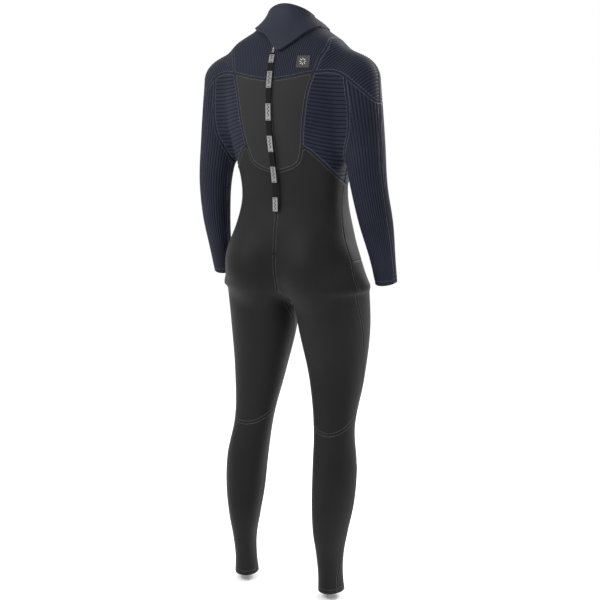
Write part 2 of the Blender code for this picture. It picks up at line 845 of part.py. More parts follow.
def collar_parts():
    """The collar band, the closure tab over its back, and the tab's hook and loop patches."""
    navy = material("navy_collar", NAVY, 0.7)
    around = np.linspace(COLLAR_OPENING, 2 * math.pi - COLLAR_OPENING, 41)
    band = around_neck(around, collar_low, collar_high, 6)
    sheet_piece("collar_band", band, outward(band), *COLLAR_LAYERS["band"], navy)
    angles = np.linspace(TAB_RIGHT, TAB_LEFT, 17)
    tab = around_neck(angles, collar_low, collar_high, 7)
    sheet_piece("collar_closure_tab", tab, outward(tab), *COLLAR_LAYERS["tab"], navy)
    patch = tab[2:5, 13:16]
    loop = material("loop_black", BLACK, 0.95)
    hook = material("hook_grey", CHARCOAL, 0.6)
    sheet_piece("loop_patch", patch, outward(patch), *COLLAR_LAYERS["loop"], loop)
    sheet_piece("hook_patch", patch, outward(patch), *COLLAR_LAYERS["hook"], hook)


def zip_place(angle, radius, x):
    return (x, ZIP_CENTRE[1] + radius * math.cos(angle), ZIP_CENTRE[2] + radius * math.sin(angle))


def arc_bar(name, start, end, steps, x_low, x_high, low, high, finish):
    """A bar of oblong section along the zip's arc; low and high are radial, from the teeth line."""
    points = []
    for i in range(steps + 1):
        angle = start + (end - start) * i / steps
        for x, lift in ((x_low, low), (x_high, low), (x_high, high), (x_low, high)):
            points.append(zip_place(angle, ZIP_RADIUS + lift, x))
    return bar_object(name, points, steps, finish)


def bar_object(name, points, steps, finish):
    rings = [[0, 1, 2, 3], [4 * steps + 3, 4 * steps + 2, 4 * steps + 1, 4 * steps]]
    for i in range(steps):
        for k in range(4):
            a = 4 * i + k
            b = 4 * i + (k + 1) % 4
            rings.append([a, a + 4, b + 4, b])
    made = add_object(name, points, rings, finish)
    mesh = bmesh.new()
    mesh.from_mesh(made.data)
    bmesh.ops.recalc_face_normals(mesh, faces=mesh.faces)
    mesh.to_mesh(made.data)
    mesh.free()
    return made


def zip_parts():
    coil = material("zip_coil_black", BLACK, 0.35)
    tape = material("zip_tape_black", BLACK, 0.85)
    metal = material("slider_metal", SILVER, 0.3, 1.0)
    gap = SEAM_GAP
    inner = gap
    outer = gap + COIL_WIDTH
    for side, sign in (("left", 1), ("right", -1)):
        ends = sorted((sign * inner, sign * outer))
        arc_bar("zip_coil_" + side, ZIP_BOTTOM, ZIP_TOP, 22, ends[0], ends[1],
                -COIL_DEPTH - COIL_HEIGHT, -COIL_DEPTH, coil)
        xs = np.array([outer + 0.0004, outer + 0.006, outer + TAPE_WIDTH]) * sign
        strip = back_surface(xs, np.linspace(*TAPE_HEIGHTS, 12))
        under = BODY_NEOPRENE + TAPE_DEPTH
        sheet_piece("zip_tape_" + side, strip, outward(strip), -under, under + TAPE_THICKNESS, tape)
    half = math.radians(0.5)
    bottom = ZIP_BOTTOM - math.radians(0.1)
    arc_bar("zip_bottom_stop", bottom - 2 * half, bottom, 1, -0.0027, 0.0027, -0.0035, -0.0008, metal)
    top = ZIP_TOP + math.radians(0.1)
    for side, low in (("right", -0.0027), ("left", 0.0005)):
        arc_bar("zip_top_stop_" + side, top, top + half, 1, low, low + 0.0022, -0.0035, -0.0008, metal)
    reach = math.radians(1.0)
    slider_shape(reach, metal)
    guard = back_surface(np.linspace(-GUARD_HALF_WIDTH, GUARD_HALF_WIDTH, 4), np.linspace(*GUARD_HEIGHTS, 13))
    deep = BODY_NEOPRENE + GUARD_DEPTH
    black = material("guard_black", BLACK, 0.8)
    sheet_piece("zip_guard_flap", guard, outward(guard), -deep, deep + GUARD_THICKNESS, black)


def slider_shape(reach, finish):
    """The slider: a plate over the teeth with a flange down each side and a bail on top."""
    profile = (
        (-0.0044, -0.0032), (-0.0031, -0.0032), (-0.0031, -0.0009), (0.0031, -0.0009),
        (0.0031, -0.0032), (0.0044, -0.0032), (0.0044, 0.0009), (0.0016, 0.0009),
        (0.0016, 0.0028), (-0.0016, 0.0028), (-0.0016, 0.0009), (-0.0044, 0.0009),
    )
    count = len(profile)
    points = []
    steps = 3
    for i in range(steps + 1):
        angle = SLIDER_ANGLE - reach + 2 * reach * i / steps
        points += [zip_place(angle, ZIP_RADIUS + lift, x) for x, lift in profile]
    rings = [list(range(count)), [steps * count + k for k in reversed(range(count))]]
    for i in range(steps):
        for k in range(count):
            a = i * count + k
            b = i * count + (k + 1) % count
            rings.append([a, a + count, b + count, b])
    made = add_object("zip_slider", points, rings, finish)
    mesh = bmesh.new()
    mesh.from_mesh(made.data)
    bmesh.ops.recalc_face_normals(mesh, faces=mesh.faces)
    mesh.to_mesh(made.data)
    mesh.free()
    return made


def line_frames(count):
    """Points and outward directions down the leash, evenly spaced along it."""
    fine = height_line(200)
    lengths = np.concatenate([[0], np.cumsum(np.linalg.norm(np.diff(fine, axis=0), axis=1))])
    marks = np.linspace(0, lengths[-1], count)
    place = np.stack([np.interp(marks, lengths, fine[:, k]) for k in range(2)], -1)
    along = np.gradient(place, axis=0)
    along /= np.linalg.norm(along, axis=1)[:, None]
    out = np.stack([-along[:, 1], along[:, 0]], -1)
    return place, out, marks


def height_line(count):
    knots = tuple((i, y, z) for i, (y, z) in enumerate(LEASH_LINE))
    return curve(np.linspace(0, len(LEASH_LINE) - 1, count), knots)


def strap_bar(name, place, out, half_width, low, high, finish):
    points = []
    for (y, z), (oy, oz) in zip(place, out):
        for x, lift in ((-half_width, low), (half_width, low), (half_width, high), (-half_width, high)):
            points.append((x, y + oy * lift, z + oz * lift))
    return bar_object(name, points, len(place) - 1, finish)


def leash_parts():
    webbing = material("leash_webbing", BLACK, 0.85)
    print_white = material("label_woven", LABEL_WHITE, 0.7)
    place, out, marks = line_frames(36)
    half = LEASH_THICKNESS / 2
    strap_bar("pull_leash", place, out, LEASH_WIDTH / 2, -half, half, webbing)
    fine, fine_out, fine_marks = line_frames(240)
    spans = [FIRST_LABEL]
    for i in range(LABEL_COUNT):
        start = LABEL_START + i * LABEL_PITCH
        spans.append((start, start + LABEL_LENGTH))
    for i, (start, end) in enumerate(spans):
        rows = np.flatnonzero((fine_marks >= start) & (fine_marks <= end))
        rows = rows[np.linspace(0, len(rows) - 1, 6).astype(int)]
        strap_bar(f"leash_label_{i + 1}", fine[rows], fine_out[rows],
                  LEASH_WIDTH / 2 - 0.0005, half + 0.0004, half + 0.0010, print_white)


def puller_part():
    """The short metal pull between the slider's bail and the leash."""
    metal = material("slider_metal", SILVER, 0.3, 1.0)
    y, z = LEASH_LINE[0]
    top = zip_place(SLIDER_ANGLE - math.radians(1.2), ZIP_RADIUS + 0.0030, 0)
    place = np.array([(top[1], top[2]), (y, z + PULLER_CLEARANCE)])
    along = place[1] - place[0]
    place[0] += along * 0.02
    along /= np.linalg.norm(along)
    out = np.array([(-along[1], along[0])] * 2)
    thickness = PULLER_HALF_THICKNESS
    strap_bar("zip_puller", place, out, PULLER_HALF_WIDTH, -thickness, thickness, metal)


def badge_part():
    """A plain square patch on the right of the yoke."""
    patch = back_surface(np.linspace(*BADGE_ACROSS, 4), np.linspace(*BADGE_HEIGHTS, 4))
    sheet_piece("shoulder_badge", patch, outward(patch), *BADGE_FACES, material("badge_grey", CHARCOAL, 0.5))


def move_to_origin():
    for thing in bpy.data.objects:
        thing.data.transform(Matrix.Translation(-Vector(NECK_CENTRE)))


def set_origin(name, place):
    """Puts a moving piece's origin on its joint's axis."""
    thing = bpy.data.objects[name]
    spot = Vector(place) - Vector(NECK_CENTRE)
    thing.data.transform(Matrix.Translation(-spot))
    thing.location = spot


def main():
    for thing in list(bpy.data.objects):
        bpy.data.objects.remove(thing)
    skin = sewn_skin()
    skin.verts.index_update()
    skin.faces.index_update()
    main_panels(skin)
    skin.free()
    collar_parts()
    zip_parts()
    puller_part()
    leash_parts()
    badge_part()
    move_to_origin()
    set_origin("zip_slider", ZIP_CENTRE)
    on_leash = ["pull_leash"] + [f"leash_label_{i + 1}" for i in range(LABEL_COUNT + 1)]
    for name in on_leash:
        set_origin(name, (0.0,) + LEASH_LINE[0])


main()
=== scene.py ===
"""The looks of a full wetsuit with a back zip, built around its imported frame.

Shapes are laid out in metres, with heights above the ground, and are moved to the frame's origin, the
centre of the neck opening, as each piece is made. The suit's outside is one smooth surface, body(). A panel
is a sheet of faces on that surface. It is trimmed along its seams, raised into ribs where its cloth is
ribbed, closed into a shell of the foam's thickness and stitched along its borders.
"""

import json
import math

import bpy
import numpy as np
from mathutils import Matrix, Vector
from mathutils.kdtree import KDTree

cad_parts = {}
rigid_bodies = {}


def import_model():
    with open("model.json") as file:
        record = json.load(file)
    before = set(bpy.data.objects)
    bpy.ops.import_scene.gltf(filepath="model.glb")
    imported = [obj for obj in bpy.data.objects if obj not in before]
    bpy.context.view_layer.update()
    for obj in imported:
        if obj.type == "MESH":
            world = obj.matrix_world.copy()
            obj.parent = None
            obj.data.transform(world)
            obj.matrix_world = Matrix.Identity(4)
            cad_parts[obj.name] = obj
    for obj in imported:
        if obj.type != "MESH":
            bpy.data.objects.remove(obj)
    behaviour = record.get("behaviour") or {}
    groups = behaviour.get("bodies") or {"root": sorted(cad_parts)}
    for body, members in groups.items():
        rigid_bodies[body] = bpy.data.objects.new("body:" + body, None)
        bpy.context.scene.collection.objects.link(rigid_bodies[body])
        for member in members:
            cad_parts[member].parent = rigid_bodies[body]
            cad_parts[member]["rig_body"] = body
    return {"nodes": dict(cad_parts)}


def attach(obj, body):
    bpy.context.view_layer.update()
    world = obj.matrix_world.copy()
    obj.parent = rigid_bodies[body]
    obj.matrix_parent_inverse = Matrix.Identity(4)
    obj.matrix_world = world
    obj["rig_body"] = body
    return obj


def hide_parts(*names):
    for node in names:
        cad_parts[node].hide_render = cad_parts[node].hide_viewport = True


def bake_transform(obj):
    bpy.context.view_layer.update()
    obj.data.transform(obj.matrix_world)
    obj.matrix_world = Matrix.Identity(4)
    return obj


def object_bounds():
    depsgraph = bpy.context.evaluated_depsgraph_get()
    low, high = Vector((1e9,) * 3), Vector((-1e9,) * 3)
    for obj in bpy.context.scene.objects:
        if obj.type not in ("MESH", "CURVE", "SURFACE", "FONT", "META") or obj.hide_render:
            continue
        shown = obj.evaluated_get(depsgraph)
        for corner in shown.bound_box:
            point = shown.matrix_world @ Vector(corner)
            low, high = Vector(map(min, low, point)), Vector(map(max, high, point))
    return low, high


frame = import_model()
CAD_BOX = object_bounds()

# ---------------------------------------------------------------- driving dimensions
BODY_NEOPRENE = 0.004
LIMB_NEOPRENE = 0.003
SEAM_GAP = 0.0006
NECK_CENTRE = (0.0, -0.025, 1.463)
ANKLE_HEM = -0.018
WRIST_CENTRE = (0.243, -0.064, 0.812)
WRIST_AXIS = (0.05, -0.25, -0.967)
RIM_SLOPE = 0.78
KNEE_HEIGHT = 0.412
KNEE_PIVOT_Y = 0.044
KNEE_SEAM_SLOPE = 0.6
LEG_TURN = math.radians(15)
ARM_TURN = math.radians(-35)

# zip: its teeth lie on an arc in the plane x = 0
ZIP_RADIUS = 0.400
ZIP_CENTRE = (0.0, -0.2855, 1.250)
ZIP_TOP = math.radians(23.4)
ZIP_BOTTOM = math.radians(-20.6)
COIL_WIDTH = 0.0024
COIL_HEIGHT = 0.0022
TAPE_WIDTH = 0.014
TAPE_THICKNESS = 0.0008
LEASH_WIDTH = 0.0145
LEASH_THICKNESS = 0.0016
# woven labels on the leash, measured down it from its top: the first is half under the collar
FIRST_LABEL = (0.0040, 0.0250)
LABEL_START = 0.0460
LABEL_LENGTH = 0.0410
LABEL_PITCH = 0.0785
LABEL_COUNT = 5
# the leash's own line down the back: y, height
LEASH_LINE = (
    (0.0950, 1.3840), (0.1020, 1.3660), (0.1080, 1.3440), (0.1140, 1.3150), (0.1180, 1.2850),
    (0.1190, 1.2500), (0.1170, 1.2100), (0.1105, 1.1700), (0.1015, 1.1300), (0.0930, 1.0950),
    (0.0870, 1.0600), (0.0840, 1.0250), (0.0830, 0.9950),
)
BADGE_ACROSS = (-0.099, -0.067)
BADGE_HEIGHTS = (1.347, 1.376)
NECK_AXIS = (0.0, -0.020)
TAB_RIGHT = math.radians(-72)
TAB_LEFT = math.radians(58)
COLLAR_OPENING = math.radians(4.5)

# how square the sections are: 2 is an ellipse
TORSO_POWER = 2.35
LIMB_POWER = 2.15
# where the torso's widest line lies between its front and its back
WIDEST_SHARE = 0.55
# how far one shape blends into the next
LEG_BLEND = 0.008
HIP_BLEND = 0.035
# how quickly the torso closes below its lowest section
TORSO_END = 3.0
BUTTOCK_BLEND = 0.03
ARM_BLEND = 0.006
ARMPIT_BLEND = 0.029
ARMPIT_HEIGHTS = (1.02, 1.12)
# below this height an arm closes quickly, so that it ends past its wrist hem
ARM_END = 0.775
BUTTOCK_CENTRE = (0.078, 0.030, 0.850)
BUTTOCK_RADII = (0.088, 0.085, 0.100)

# torso sections: height, half width, front y, back y
TORSO = (
    (0.790, 0.187, -0.118, 0.072),
    (0.860, 0.183, -0.127, 0.087),
    (0.930, 0.163, -0.132, 0.088),
    (1.020, 0.142, -0.128, 0.074),
    (1.120, 0.149, -0.125, 0.089),
    (1.210, 0.166, -0.130, 0.111),
    (1.290, 0.176, -0.126, 0.113),
    (1.350, 0.178, -0.105, 0.103),
    (1.385, 0.166, -0.090, 0.092),
    (1.415, 0.138, -0.080, 0.079),
    (1.440, 0.098, -0.078, 0.061),
    (1.465, 0.068, -0.080, 0.047),
    (1.490, 0.053, -0.084, 0.037),
    (1.520, 0.041, -0.088, 0.026),
)
# leg sections: height, centre x, centre y, half width, front depth, back depth
LEG = (
    (-0.020, 0.131, 0.014, 0.032, 0.036, 0.040),
    (0.030, 0.131, 0.018, 0.029, 0.034, 0.040),
    (0.090, 0.132, 0.021, 0.032, 0.036, 0.047),
    (0.150, 0.133, 0.019, 0.042, 0.042, 0.058),
    (0.220, 0.135, 0.010, 0.052, 0.049, 0.066),
    (0.310, 0.134, 0.000, 0.056, 0.053, 0.066),
    (0.420, 0.121, -0.014, 0.053, 0.056, 0.052),
    (0.550, 0.114, -0.038, 0.070, 0.080, 0.068),
    (0.680, 0.105, -0.045, 0.089, 0.098, 0.094),
    (0.800, 0.100, -0.032, 0.096, 0.102, 0.108),
)
# arm sections, as for the legs
ARM = (
    (0.810, 0.243, -0.064, 0.028, 0.026, 0.026),
    (0.870, 0.241, -0.044, 0.032, 0.028, 0.028),
    (0.970, 0.234, -0.012, 0.042, 0.034, 0.034),
    (1.060, 0.223, 0.008, 0.045, 0.040, 0.040),
    (1.170, 0.207, 0.006, 0.051, 0.050, 0.050),
    (1.318, 0.182, 0.003, 0.060, 0.060, 0.062),
)

# seam lines, as knots of a smooth curve
COLLAR_BACK = (
    (-0.085, 1.448), (-0.061, 1.420), (-0.041, 1.404), (-0.009, 1.391),
    (0.010, 1.410), (0.028, 1.426), (0.058, 1.438), (0.085, 1.448),
)
COLLAR_FRONT = ((-0.085, 1.448), (-0.050, 1.400), (0.000, 1.382), (0.050, 1.400), (0.085, 1.448))
SHOULDER_LINE = (
    (0.000, 1.319), (0.055, 1.326), (0.110, 1.336), (0.160, 1.337), (0.183, 1.327),
    (0.200, 1.313), (0.225, 1.290), (0.250, 1.263), (0.275, 1.250),
)
YOKE_SIDE = ((1.330, 0.111), (1.370, 0.121), (1.395, 0.131), (1.420, 0.128))
BACK_PANEL = (
    (0.000, 1.094), (0.035, 1.103), (0.055, 1.112), (0.067, 1.124),
    (0.078, 1.160), (0.088, 1.225), (0.096, 1.280), (0.111, 1.336),
)
UNDERARM_LINE = (
    (-0.130, 1.100), (-0.090, 1.075), (-0.045, 1.058), (-0.015, 1.068),
    (0.025, 1.089), (0.061, 1.123), (0.086, 1.155), (0.100, 1.170),
)
CHEST_SIDE = ((1.050, 0.110), (1.150, 0.095), (1.250, 0.100), (1.336, 0.112))
ARMHOLE = (
    (0.800, 0.201), (0.850, 0.198), (0.950, 0.182), (1.050, 0.160), (1.110, 0.160),
    (1.144, 0.171), (1.175, 0.183), (1.340, 0.183),
)
SIDE_SEAM = (
    (-0.020, 0.032), (0.032, 0.031), (0.100, 0.019), (0.183, 0.010), (0.264, 0.000),
    (0.360, -0.028), (0.492, -0.059), (0.548, -0.055), (0.632, -0.043), (0.702, -0.026),
    (0.770, -0.001), (0.849, 0.014), (0.924, 0.016), (0.986, 0.002), (1.047, -0.015), (1.200, -0.030),
)
INSEAM = (
    (-0.020, 0.020), (0.100, 0.018), (0.264, 0.000), (0.360, -0.025), (0.492, -0.058),
    (0.600, -0.055), (0.690, -0.040), (0.740, 0.000), (0.790, 0.040),
)
SLEEVE_SEAM = (
    (0.810, -0.058), (0.870, -0.040), (0.970, -0.004), (1.078, 0.020), (1.200, 0.019), (1.270, 0.010),
)
SHOULDER_TOP_Y = -0.030
GROIN_HEIGHT = 0.757
GROIN_SLOPE = 0.62
KNEE_PAD_LOW = 0.330
# over these heights one seam line passes into another
CROTCH_BLEND = 0.06
CHEST_TOP = 1.325
CHEST_BLEND = 0.02

# ---------------------------------------------------------------- sizes of the finer detail
PANEL_STEP = 0.008
RIB_SAMPLES = 6
ALONG_STEP = 0.007
SIDE_RIB = 0.0085
SIDE_RIB_HEIGHT = 0.0016
SLEEVE_RIBS = 42
SLEEVE_RIB_HEIGHT = 0.0015
CAP_RIB = 0.0062
CAP_RIB_HEIGHT = 0.0013
YOKE_RIB = 0.0050
YOKE_RIB_HEIGHT = 0.0010
YOKE_WAVE = 0.0007
YOKE_WAVE_LENGTH = 0.012
RIB_FADE = 0.0035
# faces within this share of a rib's pitch from its groove are given painted shade
GROOVE_SHADE_SHARE = 0.17
# the border of a panel dips to its glued seam over this width
SEAM_DIP = 0.0009
SEAM_ROLL = 0.0028
SEAM_LINES = (0.0008, 0.0018, 0.0030)
STITCH_FROM_SEAM = 0.0040
STITCH_PITCH = 0.0036
STITCH_SIZE = np.array((0.0030, 0.0007, 0.0004))
STITCH_LIFT = 0.0001
STITCH_SLANT = math.radians(14)
HEM_STITCH = 0.012
UNDER_COLLAR = 0.010
ZIP_EDGE = 0.0030

SIDES = {"left": 1, "right": -1}
# the hips lie nearer the middle than this, and the wrists' closed ends further out
THIGH_REACH = 0.209

# the side panels' rays start on this line; their ribs slope least high up, and more lower down
SIDE_START_Y = -0.010
SIDE_SLOPE = (0.12, 0.42)
SIDE_SLOPE_TOP = 1.34
SIDE_SLOPE_FALL = 0.25
# the trunk's radius, and how far out the ribs stay level
SIDE_RADIUS = 0.15
SIDE_LEVEL_REACH = 0.07
SIDE_LEVELS = (1.020, 1.440)
SLEEVE_HEIGHTS = (0.790, 1.360)
SLEEVE_REACH = 2.1
# a sleeve's ribs are lowest at the wrist
SLEEVE_RIB_LEAST = 0.35
SLEEVE_RIB_FADE = (0.84, 0.14)
CAP_CENTRE = np.array((0.165, 0.0, 1.310))
CAP_AXIS = np.array((0.750, 0.118, -0.650))
CAP_REACH = (-0.135, 0.102)
YOKE_CENTRE = (-0.030, 1.330)
YOKE_RADIUS = 0.10
YOKE_SPREAD = (0.93, 0.30)
YOKE_SPREAD_TURN = 1.3
YOKE_ACROSS = (-0.004, 0.150)
NET_LOW = (-0.215, -0.165, -0.040)
NET_HIGH = (0.215, 0.150, 1.480)

COLLAR_STEP = 0.0009
# the neck's radius, for the spacing of the collar's columns
COLLAR_RADIUS = 0.06
COLLAR_EDGE_REACH = 0.03
# how far the outer and the inner face of a layer stand out from the suit's surface
COLLAR_LAYERS = {"band": (0.0042, 0.0012), "tab": (0.0086, 0.0058)}
PATCH_LAYERS = {"loop": (0.0050, 0.0043), "hook": (0.0057, 0.0051)}
# the patches' ends, measured back from the tab's free end
PATCH_ENDS = (math.radians(24), math.radians(9))
# the tab closes in on the band towards its two ends
TAB_TAPER = math.radians(16)
TAB_DROP = 0.0013
COLLAR_RIB = 0.0032
COLLAR_RIB_RADIUS = 0.062
COLLAR_RIB_HEIGHT = 0.00025
# the share of the collar's height over which its knit fades in from an edge
KNIT_FROM_EDGE = 0.10

ZIP_TOOTH = 0.0015
ZIP_TOOTH_SHARE = 0.72
ZIP_TOOTH_DEPTH = 0.0026
TAPE_HEIGHTS = (1.098, 1.402)
TAPE_GAP = 0.0004
TAPE_UNDER = 0.0006
GUARD_HALF_WIDTH = 0.024
GUARD_HEIGHTS = (1.090, 1.425)
GUARD_THICKNESS = 0.0020
GUARD_UNDER = 0.0040
SHEET_EDGE = 0.002
METAL_EDGE = 0.0003
LEASH_ROWS = 401
LEASH_FOLD = 0.020
LEASH_END_STITCH = 0.0018
LEASH_STITCH_REACH = 0.0055
LEASH_RIDGES = 5
LEASH_RIDGE_HEIGHT = 0.00022
TWILL_PITCH = 0.0024
TWILL_HEIGHT = 0.00012
LABEL_HEIGHT = 0.0012
LABEL_THICKNESS = 0.0008
LABEL_EDGE = 0.0005
LABEL_WEAVE = 0.0012
LABEL_WEAVE_HEIGHT = 0.00008
# the labels' woven bars: one across each end and slanted ones between them
MARK_END = 0.0030
MARK_END_WIDTH = 0.0100
MARK_ENDS = 0.010
MARK_START = 0.0070
MARK_PITCH = 0.0045
MARK_WIDTH = 0.0088
MARK_TURN = 34
MARK_SIZE = (0.0019, 0.0003)
BADGE_LAYER = (0.0021, 0.0009)
BADGE_EDGE = 0.0008
BADGE_RIM_WIDTH = 0.0022
BADGE_RIM_HEIGHT = 0.0005
BADGE_SPOKES = 8
BADGE_SPOKE_REACH = 0.0062
BADGE_SPOKE_SIZE = (0.0056, 0.0016, 0.0006)


# ---------------------------------------------------------------- the worn shape
def curve(t, knots):
    """Smooth curve through (t, values...) knots, held level past its ends."""
    place = np.array([k[0] for k in knots])
    value = np.array([k[1:] for k in knots], float)
    step = place[1:] - place[:-1]
    chord = (value[1:] - value[:-1]) / step[:, None]
    slope = np.empty_like(value)
    slope[0] = chord[0]
    slope[-1] = chord[-1]
    before = step[:-1, None]
    after = step[1:, None]
    slope[1:-1] = (chord[1:] * before + chord[:-1] * after) / (before + after)
    t = np.clip(np.asarray(t, float), place[0], place[-1])
    i = np.clip(np.searchsorted(place, t) - 1, 0, len(place) - 2)
    h = step[i][..., None]
    s = ((t - place[i]) / step[i])[..., None]
    rise = s * s * (3 - 2 * s)
    return (
        value[i] * (1 - rise) + value[i + 1] * rise
        + h * s * (1 - s) * (slope[i] * (1 - s) - slope[i + 1] * s)
    )


def height_curve(t, knots):
    return curve(t, knots)[..., 0]


def smooth_min(a, b, blend):
    h = np.clip(0.5 + 0.5 * (b - a) / blend, 0, 1)
    return b + (a - b) * h - blend * h * (1 - h)


def section(u, v, half_width, front, back, power):
    depth = np.where(v < 0, front, back)
    rho = (np.abs(u / half_width) ** power + np.abs(v / depth) ** power) ** (1 / power)
    return rho, (half_width + front + back) / 3


def torso(x, y, z):
    t = curve(z, TORSO)
    front = t[..., 1]
    back = t[..., 2]
    middle = front * (1 - WIDEST_SHARE) + back * WIDEST_SHARE
    rho, radius = section(x, y - middle, t[..., 0], middle - front, back - middle, TORSO_POWER)
    return (rho - 1) * radius + np.maximum(TORSO[0][0] - z, 0) * TORSO_END


def limb(x, y, z, table, turn):
    t = curve(z, table)
    dx = x - t[..., 0]
    dy = y - t[..., 1]
    u = dx * math.cos(turn) + dy * math.sin(turn)
    v = dy * math.cos(turn) - dx * math.sin(turn)
    return section(u, v, t[..., 2], t[..., 3], t[..., 4], LIMB_POWER)


def leg(x, y, z):
    rho, radius = limb(x, y, z, LEG, LEG_TURN)
    return (rho - 1) * radius + np.maximum(z - LEG[-1][0], 0) * 0.6


def arm(x, y, z):
    rho, radius = limb(x, y, z, ARM, ARM_TURN)
    past_wrist = np.maximum(ARM_END - z, 0)
    return np.hypot(rho * radius, np.maximum(z - ARM[-1][0], 0)) - radius + past_wrist * 3


def buttock(x, y, z):
    total = 0
    for place, middle, radius in zip((x, y, z), BUTTOCK_CENTRE, BUTTOCK_RADII):
        total = total + ((place - middle) / radius) ** 2
    return (np.sqrt(total) - 1) * sum(BUTTOCK_RADII) / 3


def body(p):
    """Signed measure of the worn suit's outside: below zero inside it."""
    x = p[..., 0]
    y = p[..., 1]
    z = p[..., 2]
    side = np.abs(x)
    legs = smooth_min(leg(x, y, z), leg(-x, y, z), LEG_BLEND)
    f = smooth_min(torso(x, y, z), legs, HIP_BLEND)
    f = smooth_min(f, buttock(side, y, z), BUTTOCK_BLEND)
    low, high = ARMPIT_HEIGHTS
    near_armpit = np.clip((z - low) / (high - low), 0, 1)
    return smooth_min(f, arm(side, y, z), ARM_BLEND + ARMPIT_BLEND * near_armpit)


def gradient(p, reach=0.0008):
    parts = []
    for axis in np.eye(3) * reach:
        parts.append((body(p + axis) - body(p - axis)) / (2 * reach))
    return np.stack(parts, -1)


def outward(p):
    g = gradient(p)
    return g / np.linalg.norm(g, axis=-1, keepdims=True)


def to_surface(p, rounds=5):
    for _ in range(rounds):
        g = gradient(p)
        p = p - g * (body(p) / np.sum(g * g, -1))[..., None]
    return p


# ---------------------------------------------------------------- seam fields
def neck_side(p):
    """0 in front of the neck, 1 behind it."""
    t = np.clip((p[..., 1] + 0.045) / 0.05, 0, 1)
    return t * t * (3 - 2 * t)


def collar_edge(p):
    back = height_curve(p[..., 0], COLLAR_BACK)
    front = height_curve(p[..., 0], COLLAR_FRONT)
    rear = neck_side(p)
    return p[..., 2] - back * rear - front * (1 - rear)


def shoulder_line(p):
    return p[..., 2] - height_curve(np.abs(p[..., 0]), SHOULDER_LINE)


def yoke_side(p):
    return np.abs(p[..., 0]) - height_curve(p[..., 2], YOKE_SIDE)


def back_panel_edge(p):
    side = np.abs(p[..., 0])
    past = np.maximum(side - BACK_PANEL[-1][0], 0)
    return p[..., 2] - height_curve(side, BACK_PANEL) - past * 6


def underarm_line(p):
    return p[..., 2] - height_curve(p[..., 1], UNDERARM_LINE)


def shoulder_top(p):
    return p[..., 1] - SHOULDER_TOP_Y


def chest_side(p):
    return np.abs(p[..., 0]) - height_curve(p[..., 2], CHEST_SIDE)


def armhole(p):
    return np.abs(p[..., 0]) - height_curve(p[..., 2], ARMHOLE)


def side_seam(p):
    return p[..., 1] - height_curve(p[..., 2], SIDE_SEAM)


def inseam(p):
    return p[..., 1] - height_curve(p[..., 2], INSEAM)


def sleeve_seam(p):
    return p[..., 1] - height_curve(p[..., 2], SLEEVE_SEAM)


def centre(p):
    return p[..., 0]


def groin(p):
    return p[..., 2] - GROIN_HEIGHT - GROIN_SLOPE * np.abs(p[..., 0])


def knee_seam(p):
    return p[..., 2] - KNEE_HEIGHT - KNEE_SEAM_SLOPE * (KNEE_PIVOT_Y - p[..., 1])


def knee_pad_low(p):
    return p[..., 2] - KNEE_PAD_LOW


def wrist_hem(p):
    away = [p[..., 1] - WRIST_CENTRE[1], p[..., 2] - WRIST_CENTRE[2]]
    side = np.abs(p[..., 0]) - WRIST_CENTRE[0]
    return -(side * WRIST_AXIS[0] + away[0] * WRIST_AXIS[1] + away[1] * WRIST_AXIS[2])


def ankle_hem(p):
    return p[..., 2] - ANKLE_HEM


# ---------------------------------------------------------------- sheets of faces on the surface
MOST_CORNERS = 14
SNAP = 0.00008


class Sheet:
    """Faces on the suit's surface. chart holds two numbers a point: across its ribs and along them.
    on_line marks the points of the last cut. Each row of faces is one ring, filled up with -1."""

    def __init__(self, points, chart, faces, on_line=None):
        self.points = points
        self.chart = chart
        self.faces = faces
        self.on_line = np.zeros(len(points), bool) if on_line is None else on_line


def widened(faces):
    faces = np.asarray(faces)
    filled = np.full((len(faces), MOST_CORNERS), -1)
    filled[:, :faces.shape[1]] = faces
    return filled


def ring_edges(faces):
    following = np.roll(faces, -1, axis=1)
    corners = (faces >= 0).sum(1)
    following[np.arange(len(faces)), corners - 1] = faces[:, 0]
    used = faces >= 0
    return np.stack([faces[used], following[used]], -1)


def border_edges(faces):
    """The edges that only one face has, in their face's direction."""
    edges = ring_edges(faces)
    most = edges.max() + 1
    key = edges[:, 0] * most + edges[:, 1]
    reverse = edges[:, 1] * most + edges[:, 0]
    return edges[~np.isin(reverse, key)]


def grid_sheet(place, across, along):
    """A sheet over a grid of chart numbers; place(u, v) gives points on the surface."""
    uu, vv = np.meshgrid(across, along, indexing="ij")
    points = place(uu, vv).reshape(-1, 3)
    number = np.arange(uu.size).reshape(uu.shape)
    corners = (number[:-1, :-1], number[1:, :-1], number[1:, 1:], number[:-1, 1:])
    faces = np.stack(corners, -1).reshape(-1, 4)
    a, b, c = (points[faces[:, k]] for k in range(3))
    facing = np.sum(np.cross(b - a, c - b) * outward(a), -1)
    if np.median(facing) < 0:
        faces = faces[:, ::-1]
    return Sheet(points, np.stack([uu, vv], -1).reshape(-1, 2), widened(faces))


